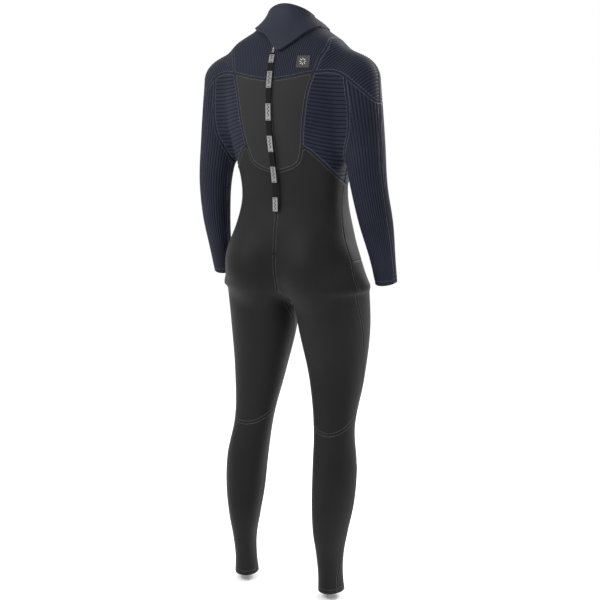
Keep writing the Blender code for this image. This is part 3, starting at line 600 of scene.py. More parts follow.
def net_sheet(low, high, step):
    """A sheet of near-square faces over body()'s surface in a box: one point in each crossed grid cell."""
    nodes = np.stack(np.meshgrid(*[np.arange(a, b, step) for a, b in zip(low, high)], indexing="ij"), -1)
    value = body(nodes)
    inside = value < 0
    size = value.shape
    total = np.zeros(tuple(n - 1 for n in size) + (3,))
    count = np.zeros(total.shape[:3])
    for axis in range(3):
        others = [a for a in range(3) if a != axis]
        for i in (0, 1):
            for j in (0, 1):
                first = [slice(0, n - 1) for n in size]
                for a, offset in zip(others, (i, j)):
                    first[a] = slice(offset, size[a] - 1 + offset)
                second = list(first)
                second[axis] = slice(1, size[axis])
                first = tuple(first)
                second = tuple(second)
                crossed = inside[first] != inside[second]
                gap = np.where(crossed, value[first] - value[second], 1)
                share = np.where(crossed, value[first] / gap, 0)[..., None]
                total += np.where(crossed[..., None], nodes[first] * (1 - share) + nodes[second] * share, 0)
                count += crossed
    used = count > 0
    number = np.full(used.shape, -1)
    number[used] = np.arange(used.sum())
    points = to_surface(total[used] / count[used][:, None], 4)
    faces = []
    for axis in range(3):
        b = (axis + 1) % 3
        c = (axis + 2) % 3
        first = [slice(None)] * 3
        second = [slice(None)] * 3
        first[axis] = slice(0, -1)
        second[axis] = slice(1, None)
        cells = np.argwhere(inside[tuple(first)] != inside[tuple(second)])
        within = (cells[:, b] > 0) & (cells[:, c] > 0)
        within &= (cells[:, b] < used.shape[b]) & (cells[:, c] < used.shape[c])
        cells = cells[within]
        leaving = inside[tuple(cells.T)]
        ring = []
        for db, dc in ((1, 1), (0, 1), (0, 0), (1, 0)):
            corner = cells.copy()
            corner[:, b] -= db
            corner[:, c] -= dc
            ring.append(number[tuple(corner.T)])
        ring = np.stack(ring, -1)
        ring[~leaving] = ring[~leaving][:, ::-1]
        faces.append(ring)
    return Sheet(points, np.zeros((len(points), 2)), widened(np.concatenate(faces)))


def mirrored(sheet):
    """The same sheet on the suit's other side."""
    faces = sheet.faces.copy()
    corners = (faces >= 0).sum(1)
    for n in np.unique(corners):
        rows = corners == n
        faces[rows, :n] = faces[rows, :n][:, ::-1]
    return Sheet(sheet.points * (-1, 1, 1), sheet.chart, faces, sheet.on_line)


def cut_points(sheet, pairs, value, measure):
    """Where edges cross measure = 0, on the surface, and their chart numbers."""
    a = sheet.points[pairs[:, 0]]
    b = sheet.points[pairs[:, 1]]
    low = np.zeros(len(pairs))
    high = np.ones(len(pairs))
    at_low = value[pairs[:, 0]]
    at_high = value[pairs[:, 1]]
    share = at_low / (at_low - at_high)
    for _ in range(3):
        here = measure(to_surface(a + (b - a) * share[:, None], 2))
        same = np.sign(here) == np.sign(at_low)
        low = np.where(same, share, low)
        at_low = np.where(same, here, at_low)
        high = np.where(same, high, share)
        at_high = np.where(same, at_high, here)
        gap = at_low - at_high
        share = low + (high - low) * at_low / np.where(np.abs(gap) < 1e-12, 1, gap)
    chart = sheet.chart[pairs[:, 0]] * (1 - share[:, None]) + sheet.chart[pairs[:, 1]] * share[:, None]
    return to_surface(a + (b - a) * share[:, None], 3), chart


def sliced(sheet, measure, both=False):
    """The sheet cut along measure = 0. What lies below zero is dropped, unless both sides stay."""
    value = measure(sheet.points)
    value = np.where(np.abs(value) < SNAP, 0.0, value)
    ring_value = np.where(sheet.faces >= 0, value[sheet.faces], np.nan)
    low = np.nanmin(ring_value, 1)
    high = np.nanmax(ring_value, 1)
    crossing = (low < 0) & (high > 0)
    kept = sheet.faces[~crossing & ((high > 0) | both)]
    level = value.tolist()
    cuts = {}
    rings = []
    for row in sheet.faces[crossing].tolist():
        ring = [v for v in row if v >= 0]
        above = []
        below = []
        for a, b in zip(ring, ring[1:] + ring[:1]):
            if level[a] >= 0:
                above.append(a)
            if level[a] <= 0:
                below.append(a)
            if level[a] * level[b] < 0:
                key = (a, b) if a < b else (b, a)
                new = cuts.setdefault(key, len(level) + len(cuts))
                above.append(new)
                below.append(new)
        for part in ([above, below] if both else [above]):
            if 3 <= len(part) <= MOST_CORNERS:
                rings.append(part + [-1] * (MOST_CORNERS - len(part)))
    points = sheet.points
    chart = sheet.chart
    on_line = value == 0
    if cuts:
        new_points, new_chart = cut_points(sheet, np.array(list(cuts)), value, measure)
        points = np.concatenate([points, new_points])
        chart = np.concatenate([chart, new_chart])
        on_line = np.concatenate([on_line, np.ones(len(cuts), bool)])
    faces = np.concatenate([kept, np.array(rings, int).reshape(-1, MOST_CORNERS)])
    used = np.unique(faces[faces >= 0])
    number = np.full(len(points) + 1, -1)
    number[used] = np.arange(len(used))
    faces = np.where(faces >= 0, number[faces], -1)
    return Sheet(points[used], chart[used], faces, on_line[used])


def smooth_step(t):
    t = np.clip(t, 0, 1)
    return t * t * (3 - 2 * t)


def distance_from(starts, ends, spacing=0.0007):
    """A function that measures how far places are from these straight stretches."""
    marks = []
    for a, b in zip(starts, ends):
        steps = max(1, math.ceil(np.linalg.norm(b - a) / spacing))
        marks.append(a + (b - a) * (np.arange(steps) / steps)[:, None])
    marks = np.concatenate(marks)
    tree = KDTree(len(marks))
    for i, mark in enumerate(marks):
        tree.insert(mark, i)
    tree.balance()
    return lambda places: np.array([tree.find(place)[2] for place in places])


def chains(edges):
    """Runs of points that follow each other along edges."""
    links = {}
    for a, b in edges.tolist():
        links.setdefault(a, []).append(b)
        links.setdefault(b, []).append(a)
    loose = set(links)
    runs = []
    for start in [v for v in links if len(links[v]) == 1] + list(links):
        if start not in loose:
            continue
        run = [start]
        loose.discard(start)
        while True:
            onward = [v for v in links[run[-1]] if v in loose]
            if not onward:
                break
            run.append(onward[0])
            loose.discard(onward[0])
        if len(run) > 3 and run[0] in links[run[-1]]:
            run.append(run[0])
        runs.append(run)
    return runs


# ---------------------------------------------------------------- meshes
class Shape:
    """Points and faces being gathered for one object, with a material number for each face."""

    def __init__(self):
        self.points = []
        self.faces = []
        self.finish = []
        self.count = 0

    def add(self, points, faces, finish=0):
        points = np.asarray(points, float).reshape(-1, 3)
        self.points.append(points)
        for ring in faces:
            self.faces.append([v + self.count for v in ring])
        self.finish += [finish] * len(faces)
        self.count += len(points)

    def build(self, name, materials):
        places = np.concatenate(self.points) - np.array(NECK_CENTRE)
        mesh = bpy.data.meshes.new(name)
        mesh.from_pydata(places.tolist(), [], self.faces)
        for one in materials:
            mesh.materials.append(one)
        mesh.polygons.foreach_set("material_index", self.finish)
        mesh.shade_smooth()
        mesh.validate()
        made = bpy.data.objects.new(name, mesh)
        bpy.context.scene.collection.objects.link(made)
        return made


def add_shell(shape, outer, inner, faces, finish=0):
    """A closed shell between two copies of the same faces."""
    count = len(outer)
    rings = [[v for v in row if v >= 0] for row in faces.tolist()]
    walls = [[b, a, a + count, b + count] for a, b in border_edges(faces).tolist()]
    under = [[v + count for v in reversed(ring)] for ring in rings]
    shape.add(np.concatenate([outer, inner]), rings + under + walls, finish)


# a short raised bar: two tips and two rings of four around its middle
BAR_POINTS = np.array(
    [(-0.5, 0, 0.2)]
    + [(-0.28, y, z) for y, z in ((-0.5, 0), (0, 1), (0.5, 0), (0, -0.6))]
    + [(0.28, y, z) for y, z in ((-0.5, 0), (0, 1), (0.5, 0), (0, -0.6))]
    + [(0.5, 0, 0.2)]
)
BAR_FACES = (
    [[0, 1 + (k + 1) % 4, 1 + k] for k in range(4)]
    + [[1 + k, 1 + (k + 1) % 4, 5 + (k + 1) % 4, 5 + k] for k in range(4)]
    + [[9, 5 + k, 5 + (k + 1) % 4] for k in range(4)]
)


def add_bars(shape, middles, along, up, size, finish=1):
    """Raised bars of size = (length, width, height), one at each middle."""
    along = along / np.linalg.norm(along, axis=1)[:, None]
    side = np.cross(up, along)
    side /= np.linalg.norm(side, axis=1)[:, None]
    up = np.cross(along, side)
    scaled = BAR_POINTS * size
    points = middles[:, None] + (
        scaled[None, :, :1] * along[:, None]
        + scaled[None, :, 1:2] * side[:, None]
        + scaled[None, :, 2:] * up[:, None]
    )
    faces = []
    for i in range(len(middles)):
        faces += [[v + i * len(scaled) for v in ring] for ring in BAR_FACES]
    shape.add(points, faces, finish)


def add_stitches(shape, line, normals, finish=1, slant=STITCH_SLANT):
    """A row of slanted stitches along a line of points."""
    steps = np.linalg.norm(np.diff(line, axis=0), axis=1)
    reach = np.concatenate([[0], np.cumsum(steps)])
    count = int(reach[-1] / STITCH_PITCH)
    if count < 1:
        return
    marks = (np.arange(count) + 0.5) * reach[-1] / count
    middles = np.stack([np.interp(marks, reach, line[:, k]) for k in range(3)], -1)
    ahead = np.stack([np.interp(marks + STITCH_PITCH / 2, reach, line[:, k]) for k in range(3)], -1)
    behind = np.stack([np.interp(marks - STITCH_PITCH / 2, reach, line[:, k]) for k in range(3)], -1)
    up = np.stack([np.interp(marks, reach, normals[:, k]) for k in range(3)], -1)
    up /= np.linalg.norm(up, axis=1)[:, None]
    along = ahead - behind
    along /= np.linalg.norm(along, axis=1)[:, None]
    along = along * math.cos(slant) + np.cross(up, along) * math.sin(slant)
    add_bars(shape, middles + up * STITCH_LIFT, along, up, STITCH_SIZE, finish)


# ---------------------------------------------------------------- charts: two numbers to a surface point
def leaving_point(start, direction, reach=0.30):
    """Where rays from inside the suit first leave it."""
    far = np.zeros(start.shape[:-1])
    for _ in range(34):
        far = np.clip(far - body(start + direction * far[..., None]) * 0.75, 0, reach)
    return start + direction * far[..., None]


def across_and_back(angle):
    """Level direction at an angle from straight back towards the wearer's left."""
    return np.stack([np.sin(angle), np.cos(angle), np.zeros_like(angle)], -1)


def side_chart(level, angle):
    """Left side of the trunk. The ribs are level by the back panel and slope down outwards."""
    slope = SIDE_SLOPE[0] + SIDE_SLOPE[1] * np.clip((SIDE_SLOPE_TOP - level) / SIDE_SLOPE_FALL, 0, 1)
    z = level - slope * np.maximum(SIDE_RADIUS * np.sin(angle) - SIDE_LEVEL_REACH, 0)
    start = np.stack([np.zeros_like(z), np.full_like(z, SIDE_START_Y), z], -1)
    return leaving_point(start, across_and_back(angle))


def sleeve_chart(angle, z):
    middle = curve(z, ARM)
    start = np.stack([middle[..., 0], middle[..., 1], z], -1)
    return leaving_point(start, across_and_back(angle))


def cap_chart(reach, angle):
    """Left shoulder. The ribs lie in planes square to a line from the neck out and down into the arm."""
    axis = CAP_AXIS / np.linalg.norm(CAP_AXIS)
    first = np.cross(axis, (0, 1.0, 0))
    first /= np.linalg.norm(first)
    second = np.cross(axis, first)
    start = CAP_CENTRE + axis * reach[..., None]
    return leaving_point(start, first * np.cos(angle)[..., None] + second * np.sin(angle)[..., None])


def yoke_chart(across, angle):
    """Upper back. The ribs climb over the shoulder, spread apart on the way and waver a little."""
    wave = np.abs((angle * YOKE_RADIUS / YOKE_WAVE_LENGTH) % 1.0 * 2 - 1) * 2 - 1
    spread = YOKE_SPREAD[0] + YOKE_SPREAD[1] * np.clip(angle / YOKE_SPREAD_TURN, 0, 1)
    x = across * spread + wave * YOKE_WAVE
    start = np.stack([x, np.full_like(x, YOKE_CENTRE[0]), np.full_like(x, YOKE_CENTRE[1])], -1)
    direction = np.stack([np.zeros_like(angle), np.cos(angle), np.sin(angle)], -1)
    return leaving_point(start, direction)


def rib(phase):
    """Height of a rounded rib: 0 in the groove between two ribs, 1 along the top."""
    across = 2 * (phase % 1.0) - 1
    return np.sqrt(np.maximum(1 - across * across, 0))


# ---------------------------------------------------------------- panels
def behind(p):
    """Above zero behind the side seam and, inside the legs, behind the inseam."""
    inner = np.abs(p[..., 0]) < curve(p[..., 2], LEG)[..., 0]
    above_crotch = smooth_step((p[..., 2] - GROIN_HEIGHT) / CROTCH_BLEND)
    inside_leg = inseam(p) * (1 - above_crotch) + side_seam(p) * above_crotch
    return np.where(inner, inside_leg, side_seam(p))


def chest_outline(p):
    over_shoulder = smooth_step((p[..., 2] - CHEST_TOP) / CHEST_BLEND)
    return chest_side(p) * (1 - over_shoulder) + yoke_side(p) * over_shoulder


def below(field):
    return lambda p: -field(p)


def left_of_zip(p):
    return p[..., 0] - ZIP_EDGE


def right_of_zip(p):
    return -p[..., 0] - ZIP_EDGE


def clear_of_arm(p):
    return THIGH_REACH - np.abs(p[..., 0])


def under_collar(p):
    return UNDER_COLLAR - collar_edge(p)


def no_relief(sheet):
    return np.zeros(len(sheet.points))


def hidden_by_collar(p):
    return collar_edge(p) > 0


def darken_grooves(shape, sheet, pitch, far):
    """Paints shade into the grooves: the outer faces between two ribs take the darker painted groove shade
    material, standing in for the shade that falls there.
    """
    used = sheet.faces >= 0
    middle = np.where(used, sheet.chart[sheet.faces, 0], 0).sum(1) / used.sum(1)
    clear = np.where(used, far[sheet.faces], 1).min(1) > RIB_FADE
    phase = (middle / pitch) % 1.0
    shaded_faces = (np.minimum(phase, 1 - phase) < GROOVE_SHADE_SHARE) & clear
    for i in np.flatnonzero(shaded_faces):
        shape.finish[i] = 2


def sewn_panel(name, sheet, seams, relief, foam, cloth, hems=(), plain=None, groove=0.0):
    """One panel. seams: it lies where all of these are above zero. hems: fields whose border has no
    seam dip. plain: picks border that isn't stitched. The last argument: the ribs' pitch on the chart; when
    it is given, the faces between the ribs get painted shade."""
    for seam in seams:
        sheet = sliced(sheet, seam)
    edges = border_edges(sheet.faces)
    middle = (sheet.points[edges[:, 0]] + sheet.points[edges[:, 1]]) / 2
    hemmed = np.zeros(len(edges), bool)
    for hem in hems:
        hemmed |= np.abs(hem(middle)) < 0.0005
    hidden = plain(middle) if plain else np.zeros(len(edges), bool)
    ends = sheet.points[edges]
    from_seam = distance_from(ends[~hemmed, 0], ends[~hemmed, 1])
    for level in SEAM_LINES:
        sheet = sliced(sheet, lambda p: from_seam(p) - level, both=True)
    sewn = ~hemmed & ~hidden
    from_sewn = distance_from(ends[sewn, 0], ends[sewn, 1])
    rows = [lambda p: from_sewn(p) - STITCH_FROM_SEAM]
    rows += [lambda p, hem=hem: hem(p) - HEM_STITCH for hem in hems]
    for row in rows:
        sheet = sliced(sheet, row, both=True)
    far = from_seam(sheet.points)
    normal = outward(sheet.points)
    lift = relief(sheet) * smooth_step(far / RIB_FADE) - SEAM_DIP * (1 - smooth_step(far / SEAM_ROLL))
    outer = sheet.points + normal * lift[:, None]
    shape = Shape()
    add_shell(shape, outer, sheet.points - normal * foam, sheet.faces)
    # painted shade on the faces in the grooves between the ribs
    if groove:
        darken_grooves(shape, sheet, groove, far)
    edges = ring_edges(sheet.faces)
    for row in rows:
        on_row = np.abs(row(sheet.points)) < SNAP * 2
        on_it = edges[on_row[edges[:, 0]] & on_row[edges[:, 1]]]
        for run in chains(np.unique(np.sort(on_it, 1), axis=0)):
            if len(run) > 1:
                add_stitches(shape, outer[run], normal[run])
    # the third material is the painted shade for the grooves between ribs
    return shape.build(name + "_cloth", [CLOTHS[cloth], CLOTHS["thread"], CLOTHS["navy_groove"]])


def both_sides(name, sheet, seams, *rest, **more):
    """A left panel and its mirror image on the right."""
    def from_left(seam):
        return lambda p: seam(p * (-1, 1, 1))

    left = sewn_panel(name + "_left", sheet, seams, *rest, **more)
    more["hems"] = [from_left(h) for h in more.get("hems", ())]
    right = sewn_panel(name + "_right", mirrored(sheet), [from_left(s) for s in seams], *rest, **more)
    return {"left": left, "right": right}


def trunk_on_torso(piece, *nodes):
    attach(piece, "torso")
    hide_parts(*nodes)


def bend_at_knee(piece, side, *nodes):
    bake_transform(piece)
    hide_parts(*nodes)


def bend_at_elbow(piece, side, *nodes):
    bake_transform(piece)
    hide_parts(*nodes)


def smooth_panels():
    net = net_sheet(NET_LOW, NET_HIGH, PANEL_STEP)
    left = sliced(net, centre)
    chest = sewn_panel("chest_panel", net,
                       [underarm_line, below(side_seam), below(chest_outline), below(armhole),
                        under_collar],
                       no_relief, BODY_NEOPRENE, "black_jersey", plain=hidden_by_collar)
    trunk_on_torso(chest, "chest_panel")
    belly = sewn_panel("belly_panel", net, [below(underarm_line), below(behind), groin, below(armhole)],
                       no_relief, BODY_NEOPRENE, "black_jersey")
    trunk_on_torso(belly, "belly_panel")
    back = both_sides("back_panel", left, [left_of_zip, side_seam, back_panel_edge, below(shoulder_line)],
                      no_relief, BODY_NEOPRENE, "charcoal_jersey")
    seat = both_sides("seat_thigh_panel", left,
                      [below(underarm_line), below(back_panel_edge), behind, knee_seam, below(armhole)],
                      no_relief, BODY_NEOPRENE, "black_jersey")
    thigh = both_sides("front_thigh_panel", left, [below(groin), below(behind), knee_seam, clear_of_arm],
                       no_relief, LIMB_NEOPRENE, "black_jersey")
    pad = both_sides("knee_pad", left, [below(knee_seam), below(behind), knee_pad_low],
                     no_relief, LIMB_NEOPRENE, "black_jersey")
    shin = both_sides("shin_panel", left, [below(knee_pad_low), below(behind), ankle_hem],
                      no_relief, LIMB_NEOPRENE, "black_jersey", hems=[ankle_hem])
    calf = both_sides("calf_panel", left, [below(knee_seam), behind, ankle_hem],
                      no_relief, LIMB_NEOPRENE, "black_jersey", hems=[ankle_hem])
    for side in SIDES:
        trunk_on_torso(back[side], "back_panel_" + side)
        for name, pieces in (("seat_thigh_panel", seat), ("front_thigh_panel", thigh), ("knee_pad", pad),
                             ("shin_panel", shin), ("calf_panel", calf)):
            bend_at_knee(pieces[side], side, f"{name}_{side}")


def steps(low, high, step):
    return np.arange(math.floor(low / step), math.ceil(high / step) + 1) * step


def ribbed_panels():
    levels = steps(*SIDE_LEVELS, SIDE_RIB / RIB_SAMPLES)
    sides = grid_sheet(side_chart, levels, np.radians(np.arange(14, 160, 3)))

    def side_ribs(sheet):
        return rib(sheet.chart[:, 0] / SIDE_RIB) * SIDE_RIB_HEIGHT

    side_back = both_sides("side_back_panel", sides,
                           [underarm_line, below(back_panel_edge), below(shoulder_line), below(armhole),
                            side_seam],
                           side_ribs, BODY_NEOPRENE, "navy_rib", groove=SIDE_RIB)
    side_front = both_sides("side_front_panel", sides,
                            [underarm_line, below(side_seam), chest_side, below(shoulder_line),
                             below(armhole)],
                            side_ribs, BODY_NEOPRENE, "navy_rib", groove=SIDE_RIB)
    turn = 2 * math.pi / SLEEVE_RIBS
    heights = np.arange(*SLEEVE_HEIGHTS, ALONG_STEP)

    def sleeve_ribs(sheet):
        above_wrist = smooth_step((sheet.points[:, 2] - SLEEVE_RIB_FADE[0]) / SLEEVE_RIB_FADE[1])
        fade = SLEEVE_RIB_LEAST + (1 - SLEEVE_RIB_LEAST) * above_wrist
        return rib(sheet.chart[:, 0] / turn) * SLEEVE_RIB_HEIGHT * fade

    sleeves = {}
    for face, middle, sign in (("back", 0.0, 1), ("front", math.pi, -1)):
        angles = steps(middle - SLEEVE_REACH, middle + SLEEVE_REACH, turn / RIB_SAMPLES)
        sheet = grid_sheet(sleeve_chart, angles, heights)
        seam = sleeve_seam if sign > 0 else below(sleeve_seam)
        sleeves[face] = both_sides("sleeve_" + face, sheet,
                                   [armhole, below(shoulder_line), seam, wrist_hem],
                                   sleeve_ribs, LIMB_NEOPRENE, "navy_rib", hems=[wrist_hem], groove=turn)
    reaches = steps(*CAP_REACH, CAP_RIB / RIB_SAMPLES)
    cap_sheet = grid_sheet(cap_chart, reaches, np.radians(np.arange(0, 361, 4)))

    def cap_ribs(sheet):
        return rib(sheet.chart[:, 0] / CAP_RIB) * CAP_RIB_HEIGHT

    caps = both_sides("shoulder_panel", cap_sheet, [shoulder_line, yoke_side],
                      cap_ribs, BODY_NEOPRENE, "navy_rib", groove=CAP_RIB)
    for side in SIDES:
        trunk_on_torso(side_back[side], "side_back_panel_" + side)
        trunk_on_torso(side_front[side], "side_front_panel_" + side)
        trunk_on_torso(caps[side], "shoulder_panel_" + side)
        for face in sleeves:
            upper, lower = (f"{part}_sleeve_{face}_{side}" for part in ("upper", "forearm"))
            bend_at_elbow(sleeves[face][side], side, upper, lower)


def yokes():
    across = steps(*YOKE_ACROSS, YOKE_RIB / RIB_SAMPLES)
    sheet = grid_sheet(yoke_chart, across, np.radians(np.arange(-16, 112, 2)))

    def yoke_ribs(sheet):
        return rib(sheet.chart[:, 0] / YOKE_RIB) * YOKE_RIB_HEIGHT

    for side, own, edge in (("left", sheet, left_of_zip), ("right", mirrored(sheet), right_of_zip)):
        piece = sewn_panel("back_yoke_" + side, own,
                           [edge, shoulder_line, below(yoke_side), shoulder_top, under_collar],
                           yoke_ribs, BODY_NEOPRENE, "navy_rib", plain=hidden_by_collar, groove=YOKE_RIB)
        trunk_on_torso(piece, "back_yoke_" + side)


# ---------------------------------------------------------------- collar, zip, leash and the small pieces
def edged(low, high, count, reach):
    """Even steps from low to high, with closer ones within reach of each end for a rounded edge."""
    near = np.array((0, 0.12, 0.45, 1.0)) * reach
    inner = np.linspace(low + reach, high - reach, count)
    return np.concatenate([low + near[:-1], inner, high - near[:-1][::-1]])


def grid_faces(rows, columns):
    number = np.arange(rows * columns).reshape(rows, columns)
    corners = (number[:-1, :-1], number[:-1, 1:], number[1:, 1:], number[1:, :-1])
    return np.stack(corners, -1).reshape(-1, 4)


def edge_distance(grid):
    """How far each point of a grid lies from the grid's nearest side."""
    def reach(axis):
        step = np.linalg.norm(np.diff(grid, axis=axis), axis=-1)
        zero = np.zeros_like(np.take(step, [0], axis=axis))
        along = np.concatenate([zero, np.cumsum(step, axis=axis)], axis=axis)
        total = np.take(along, [-1], axis=axis)
        return np.minimum(along, total - along)

    return np.minimum(reach(0), reach(1))


def add_soft_sheet(shape, grid, normals, outer, inner, finish=0, relief=0.0):
    """A closed sheet between two heights over a grid on the surface, with rounded edges."""
    half = (outer - inner) / 2
    t = np.clip(edge_distance(grid) / half, 0, 1)
    swell = half * np.sqrt(np.clip(1 - (1 - t) ** 2, 0.02, 1))
    middle = (outer + inner) / 2
    top = grid + normals * (middle + swell + relief * t)[..., None]
    bottom = grid + normals * (middle - swell)[..., None]
    faces = grid_faces(*grid.shape[:2])
    a, b, c = (grid.reshape(-1, 3)[faces[0, k]] for k in range(3))
    if np.dot(np.cross(b - a, c - b), normals.reshape(-1, 3)[0]) < 0:
        faces = faces[:, ::-1]
    add_shell(shape, top.reshape(-1, 3), bottom.reshape(-1, 3), widened(faces), finish)
    return top


def around_neck(angles, low, high, shares):
    """Grid on the neck: columns at angles from straight back, rows at shares of the height."""
    columns = []
    for angle in angles:
        bottom, top = low(angle), high(angle)
        heights = bottom + (top - bottom) * shares
        middle = (np.full_like(heights, value) for value in NECK_AXIS)
        start = np.stack([*middle, heights], -1)
        columns.append(leaving_point(start, across_and_back(np.full_like(heights, angle))))
    return np.stack(columns, 1)


def collar_low(angle, drop_by=0.002):
    height = 1.42
    for _ in range(6):
        start = np.array([[NECK_AXIS[0], NECK_AXIS[1], height]])
        place = leaving_point(start, across_and_back(np.array([angle])))
        height = 0.5 * height + 0.5 * (height - float(collar_edge(place)[0]))
    return height - drop_by


def collar_high(angle, drop_by=0.005):
    y = NECK_AXIS[1] + 0.055 * math.cos(angle)
    return NECK_CENTRE[2] + RIM_SLOPE * (y - NECK_CENTRE[1]) - drop_by


def settle(piece, body_name, node):
    """The piece rides on a body and stands in for a node."""
    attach(piece, body_name)
    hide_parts(node)


def collar_pieces():
    near_low = [0, 0.004, 0.014, 0.032, 0.06]
    near_high = [0.94, 0.968, 0.986, 0.996, 1]
    shares = np.concatenate([near_low, np.linspace(0.10, 0.90, 24), near_high])
    for name, low, high, body_name, node in (
        ("band", COLLAR_OPENING, 2 * math.pi - COLLAR_OPENING, "torso", "collar_band"),
        ("tab", TAB_RIGHT, TAB_LEFT, "collar_tab", "collar_closure_tab"),
    ):
        columns = int((high - low) * COLLAR_RADIUS / COLLAR_STEP)
        angles = edged(low, high, columns, COLLAR_EDGE_REACH)
        grid = around_neck(angles, collar_low, collar_high, shares)
        normals = outward(grid)
        shape = Shape()
        knit = rib(angles * COLLAR_RIB_RADIUS / COLLAR_RIB)[None, :] * COLLAR_RIB_HEIGHT
        fade = smooth_step(np.minimum(shares, 1 - shares) / KNIT_FROM_EDGE)[:, None]
        if name == "tab":
            to_end = np.minimum(angles - TAB_RIGHT, TAB_LEFT - angles)
            near_end = (1 - smooth_step(to_end / TAB_TAPER))[None, :, None]
            grid = grid - normals * TAB_DROP * near_end
        top = add_soft_sheet(shape, grid, normals, *COLLAR_LAYERS[name], relief=knit * fade)
        for row in (len(near_low), len(shares) - len(near_high) - 1):
            add_stitches(shape, top[row], normals[row])
        piece = shape.build(node + "_cloth", [CLOTHS["navy_collar"], CLOTHS["thread_dark"]])
        settle(piece, body_name, node)
        if name == "tab":
            patches()


def patches():
    """The hook and loop patches under the tab's free end."""
    across = edged(TAB_LEFT - PATCH_ENDS[0], TAB_LEFT - PATCH_ENDS[1], 22, 0.01)
    up = np.concatenate([[0.32, 0.33], np.linspace(0.34, 0.66, 18), [0.67, 0.68]])
    grid = around_neck(across, collar_low, collar_high, up)
    normals = outward(grid)
    for kind, body_name in (("loop", "torso"), ("hook", "collar_tab")):
        shape = Shape()
        add_soft_sheet(shape, grid, normals, *PATCH_LAYERS[kind])
        piece = shape.build(kind + "_patch_tape", [CLOTHS[kind]])
        settle(piece, body_name, kind + "_patch")


def zip_place(angle, radius, x):
    return (x, ZIP_CENTRE[1] + radius * math.cos(angle), ZIP_CENTRE[2] + radius * math.sin(angle))


def zip_pieces():
    pitch = ZIP_TOOTH / ZIP_RADIUS
    for side, sign in SIDES.items():
        shape = Shape()
        angles = np.arange(ZIP_BOTTOM, ZIP_TOP, pitch) + (pitch / 2 if sign > 0 else 0)
        beside = sign * (SEAM_GAP + COIL_WIDTH / 2)
        middles = np.array([zip_place(a, ZIP_RADIUS - ZIP_TOOTH_DEPTH, beside) for a in angles])
        along = np.tile((1.0, 0, 0), (len(angles), 1))
        up = np.stack([np.zeros_like(angles), np.cos(angles), np.sin(angles)], -1)
        size = np.array((COIL_WIDTH, ZIP_TOOTH * ZIP_TOOTH_SHARE, COIL_HEIGHT / 2))
        add_bars(shape, middles, along, up, size, 0)
        coil = shape.build("zip_coil_" + side + "_teeth", [CLOTHS["coil"]])
        settle(coil, "torso", "zip_coil_" + side)
        edge = SEAM_GAP + COIL_WIDTH + TAPE_GAP
        xs = np.linspace(edge, edge + TAPE_WIDTH, 9) * sign
        grid = back_grid(xs, np.linspace(*TAPE_HEIGHTS, 90))
        shape = Shape()
        under = -BODY_NEOPRENE - TAPE_UNDER
        add_soft_sheet(shape, grid, outward(grid), under, under - TAPE_THICKNESS)
        tape = shape.build("zip_tape_" + side + "_weave", [CLOTHS["tape"]])
        settle(tape, "torso", "zip_tape_" + side)
    xs = edged(-GUARD_HALF_WIDTH, GUARD_HALF_WIDTH, 14, SHEET_EDGE)
    grid = back_grid(xs, edged(*GUARD_HEIGHTS, 90, SHEET_EDGE))
    shape = Shape()
    deep = -BODY_NEOPRENE - GUARD_UNDER
    add_soft_sheet(shape, grid, outward(grid), deep, deep - GUARD_THICKNESS)
    guard = shape.build("zip_guard_flap_cloth", [CLOTHS["guard"]])
    settle(guard, "torso", "zip_guard_flap")
    for node in ("zip_slider", "zip_puller", "zip_bottom_stop", "zip_top_stop_left", "zip_top_stop_right"):
        metal_piece(node)


def back_grid(xs, heights):
    hh, xx = np.meshgrid(heights, xs, indexing="ij")
    start = np.stack([xx, np.zeros_like(xx), hh], -1)
    return leaving_point(start, np.array([0.0, 1.0, 0.0]))


def metal_piece(node):
    """The node's own shape with its edges rounded."""
    source = frame["nodes"][node]
    piece = bpy.data.objects.new(node + "_metal", source.data.copy())
    bpy.context.scene.collection.objects.link(piece)
    piece.data.materials.clear()
    piece.data.materials.append(CLOTHS["metal"])
    weld = piece.modifiers.new("weld", "WELD")
    weld.merge_threshold = 0.00001
    bevel = piece.modifiers.new("bevel", "BEVEL")
    bevel.width = METAL_EDGE
    bevel.segments = 2
    settle(piece, source["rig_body"], node)


def leash_frames(count):
    """Points down the leash's middle, outward directions and distances from its top, evenly spaced."""
    knots = tuple((i, y, z) for i, (y, z) in enumerate(LEASH_LINE))
    fine = curve(np.linspace(0, len(LEASH_LINE) - 1, 400), knots)
    lengths = np.concatenate([[0], np.cumsum(np.linalg.norm(np.diff(fine, axis=0), axis=1))])
    marks = np.linspace(0, lengths[-1], count)
    place = np.stack([np.interp(marks, lengths, fine[:, k]) for k in range(2)], -1)
    along = np.gradient(place, axis=0)
    along /= np.linalg.norm(along, axis=1)[:, None]
    zero = np.zeros(count)
    middle = np.stack([zero, place[:, 0], place[:, 1]], -1)
    out = np.stack([zero, -along[:, 1], along[:, 0]], -1)
    return middle, out, marks


def strap_grid(middle, xs):
    grid = np.repeat(middle[:, None], len(xs), axis=1)
    grid[..., 0] = xs
    return grid


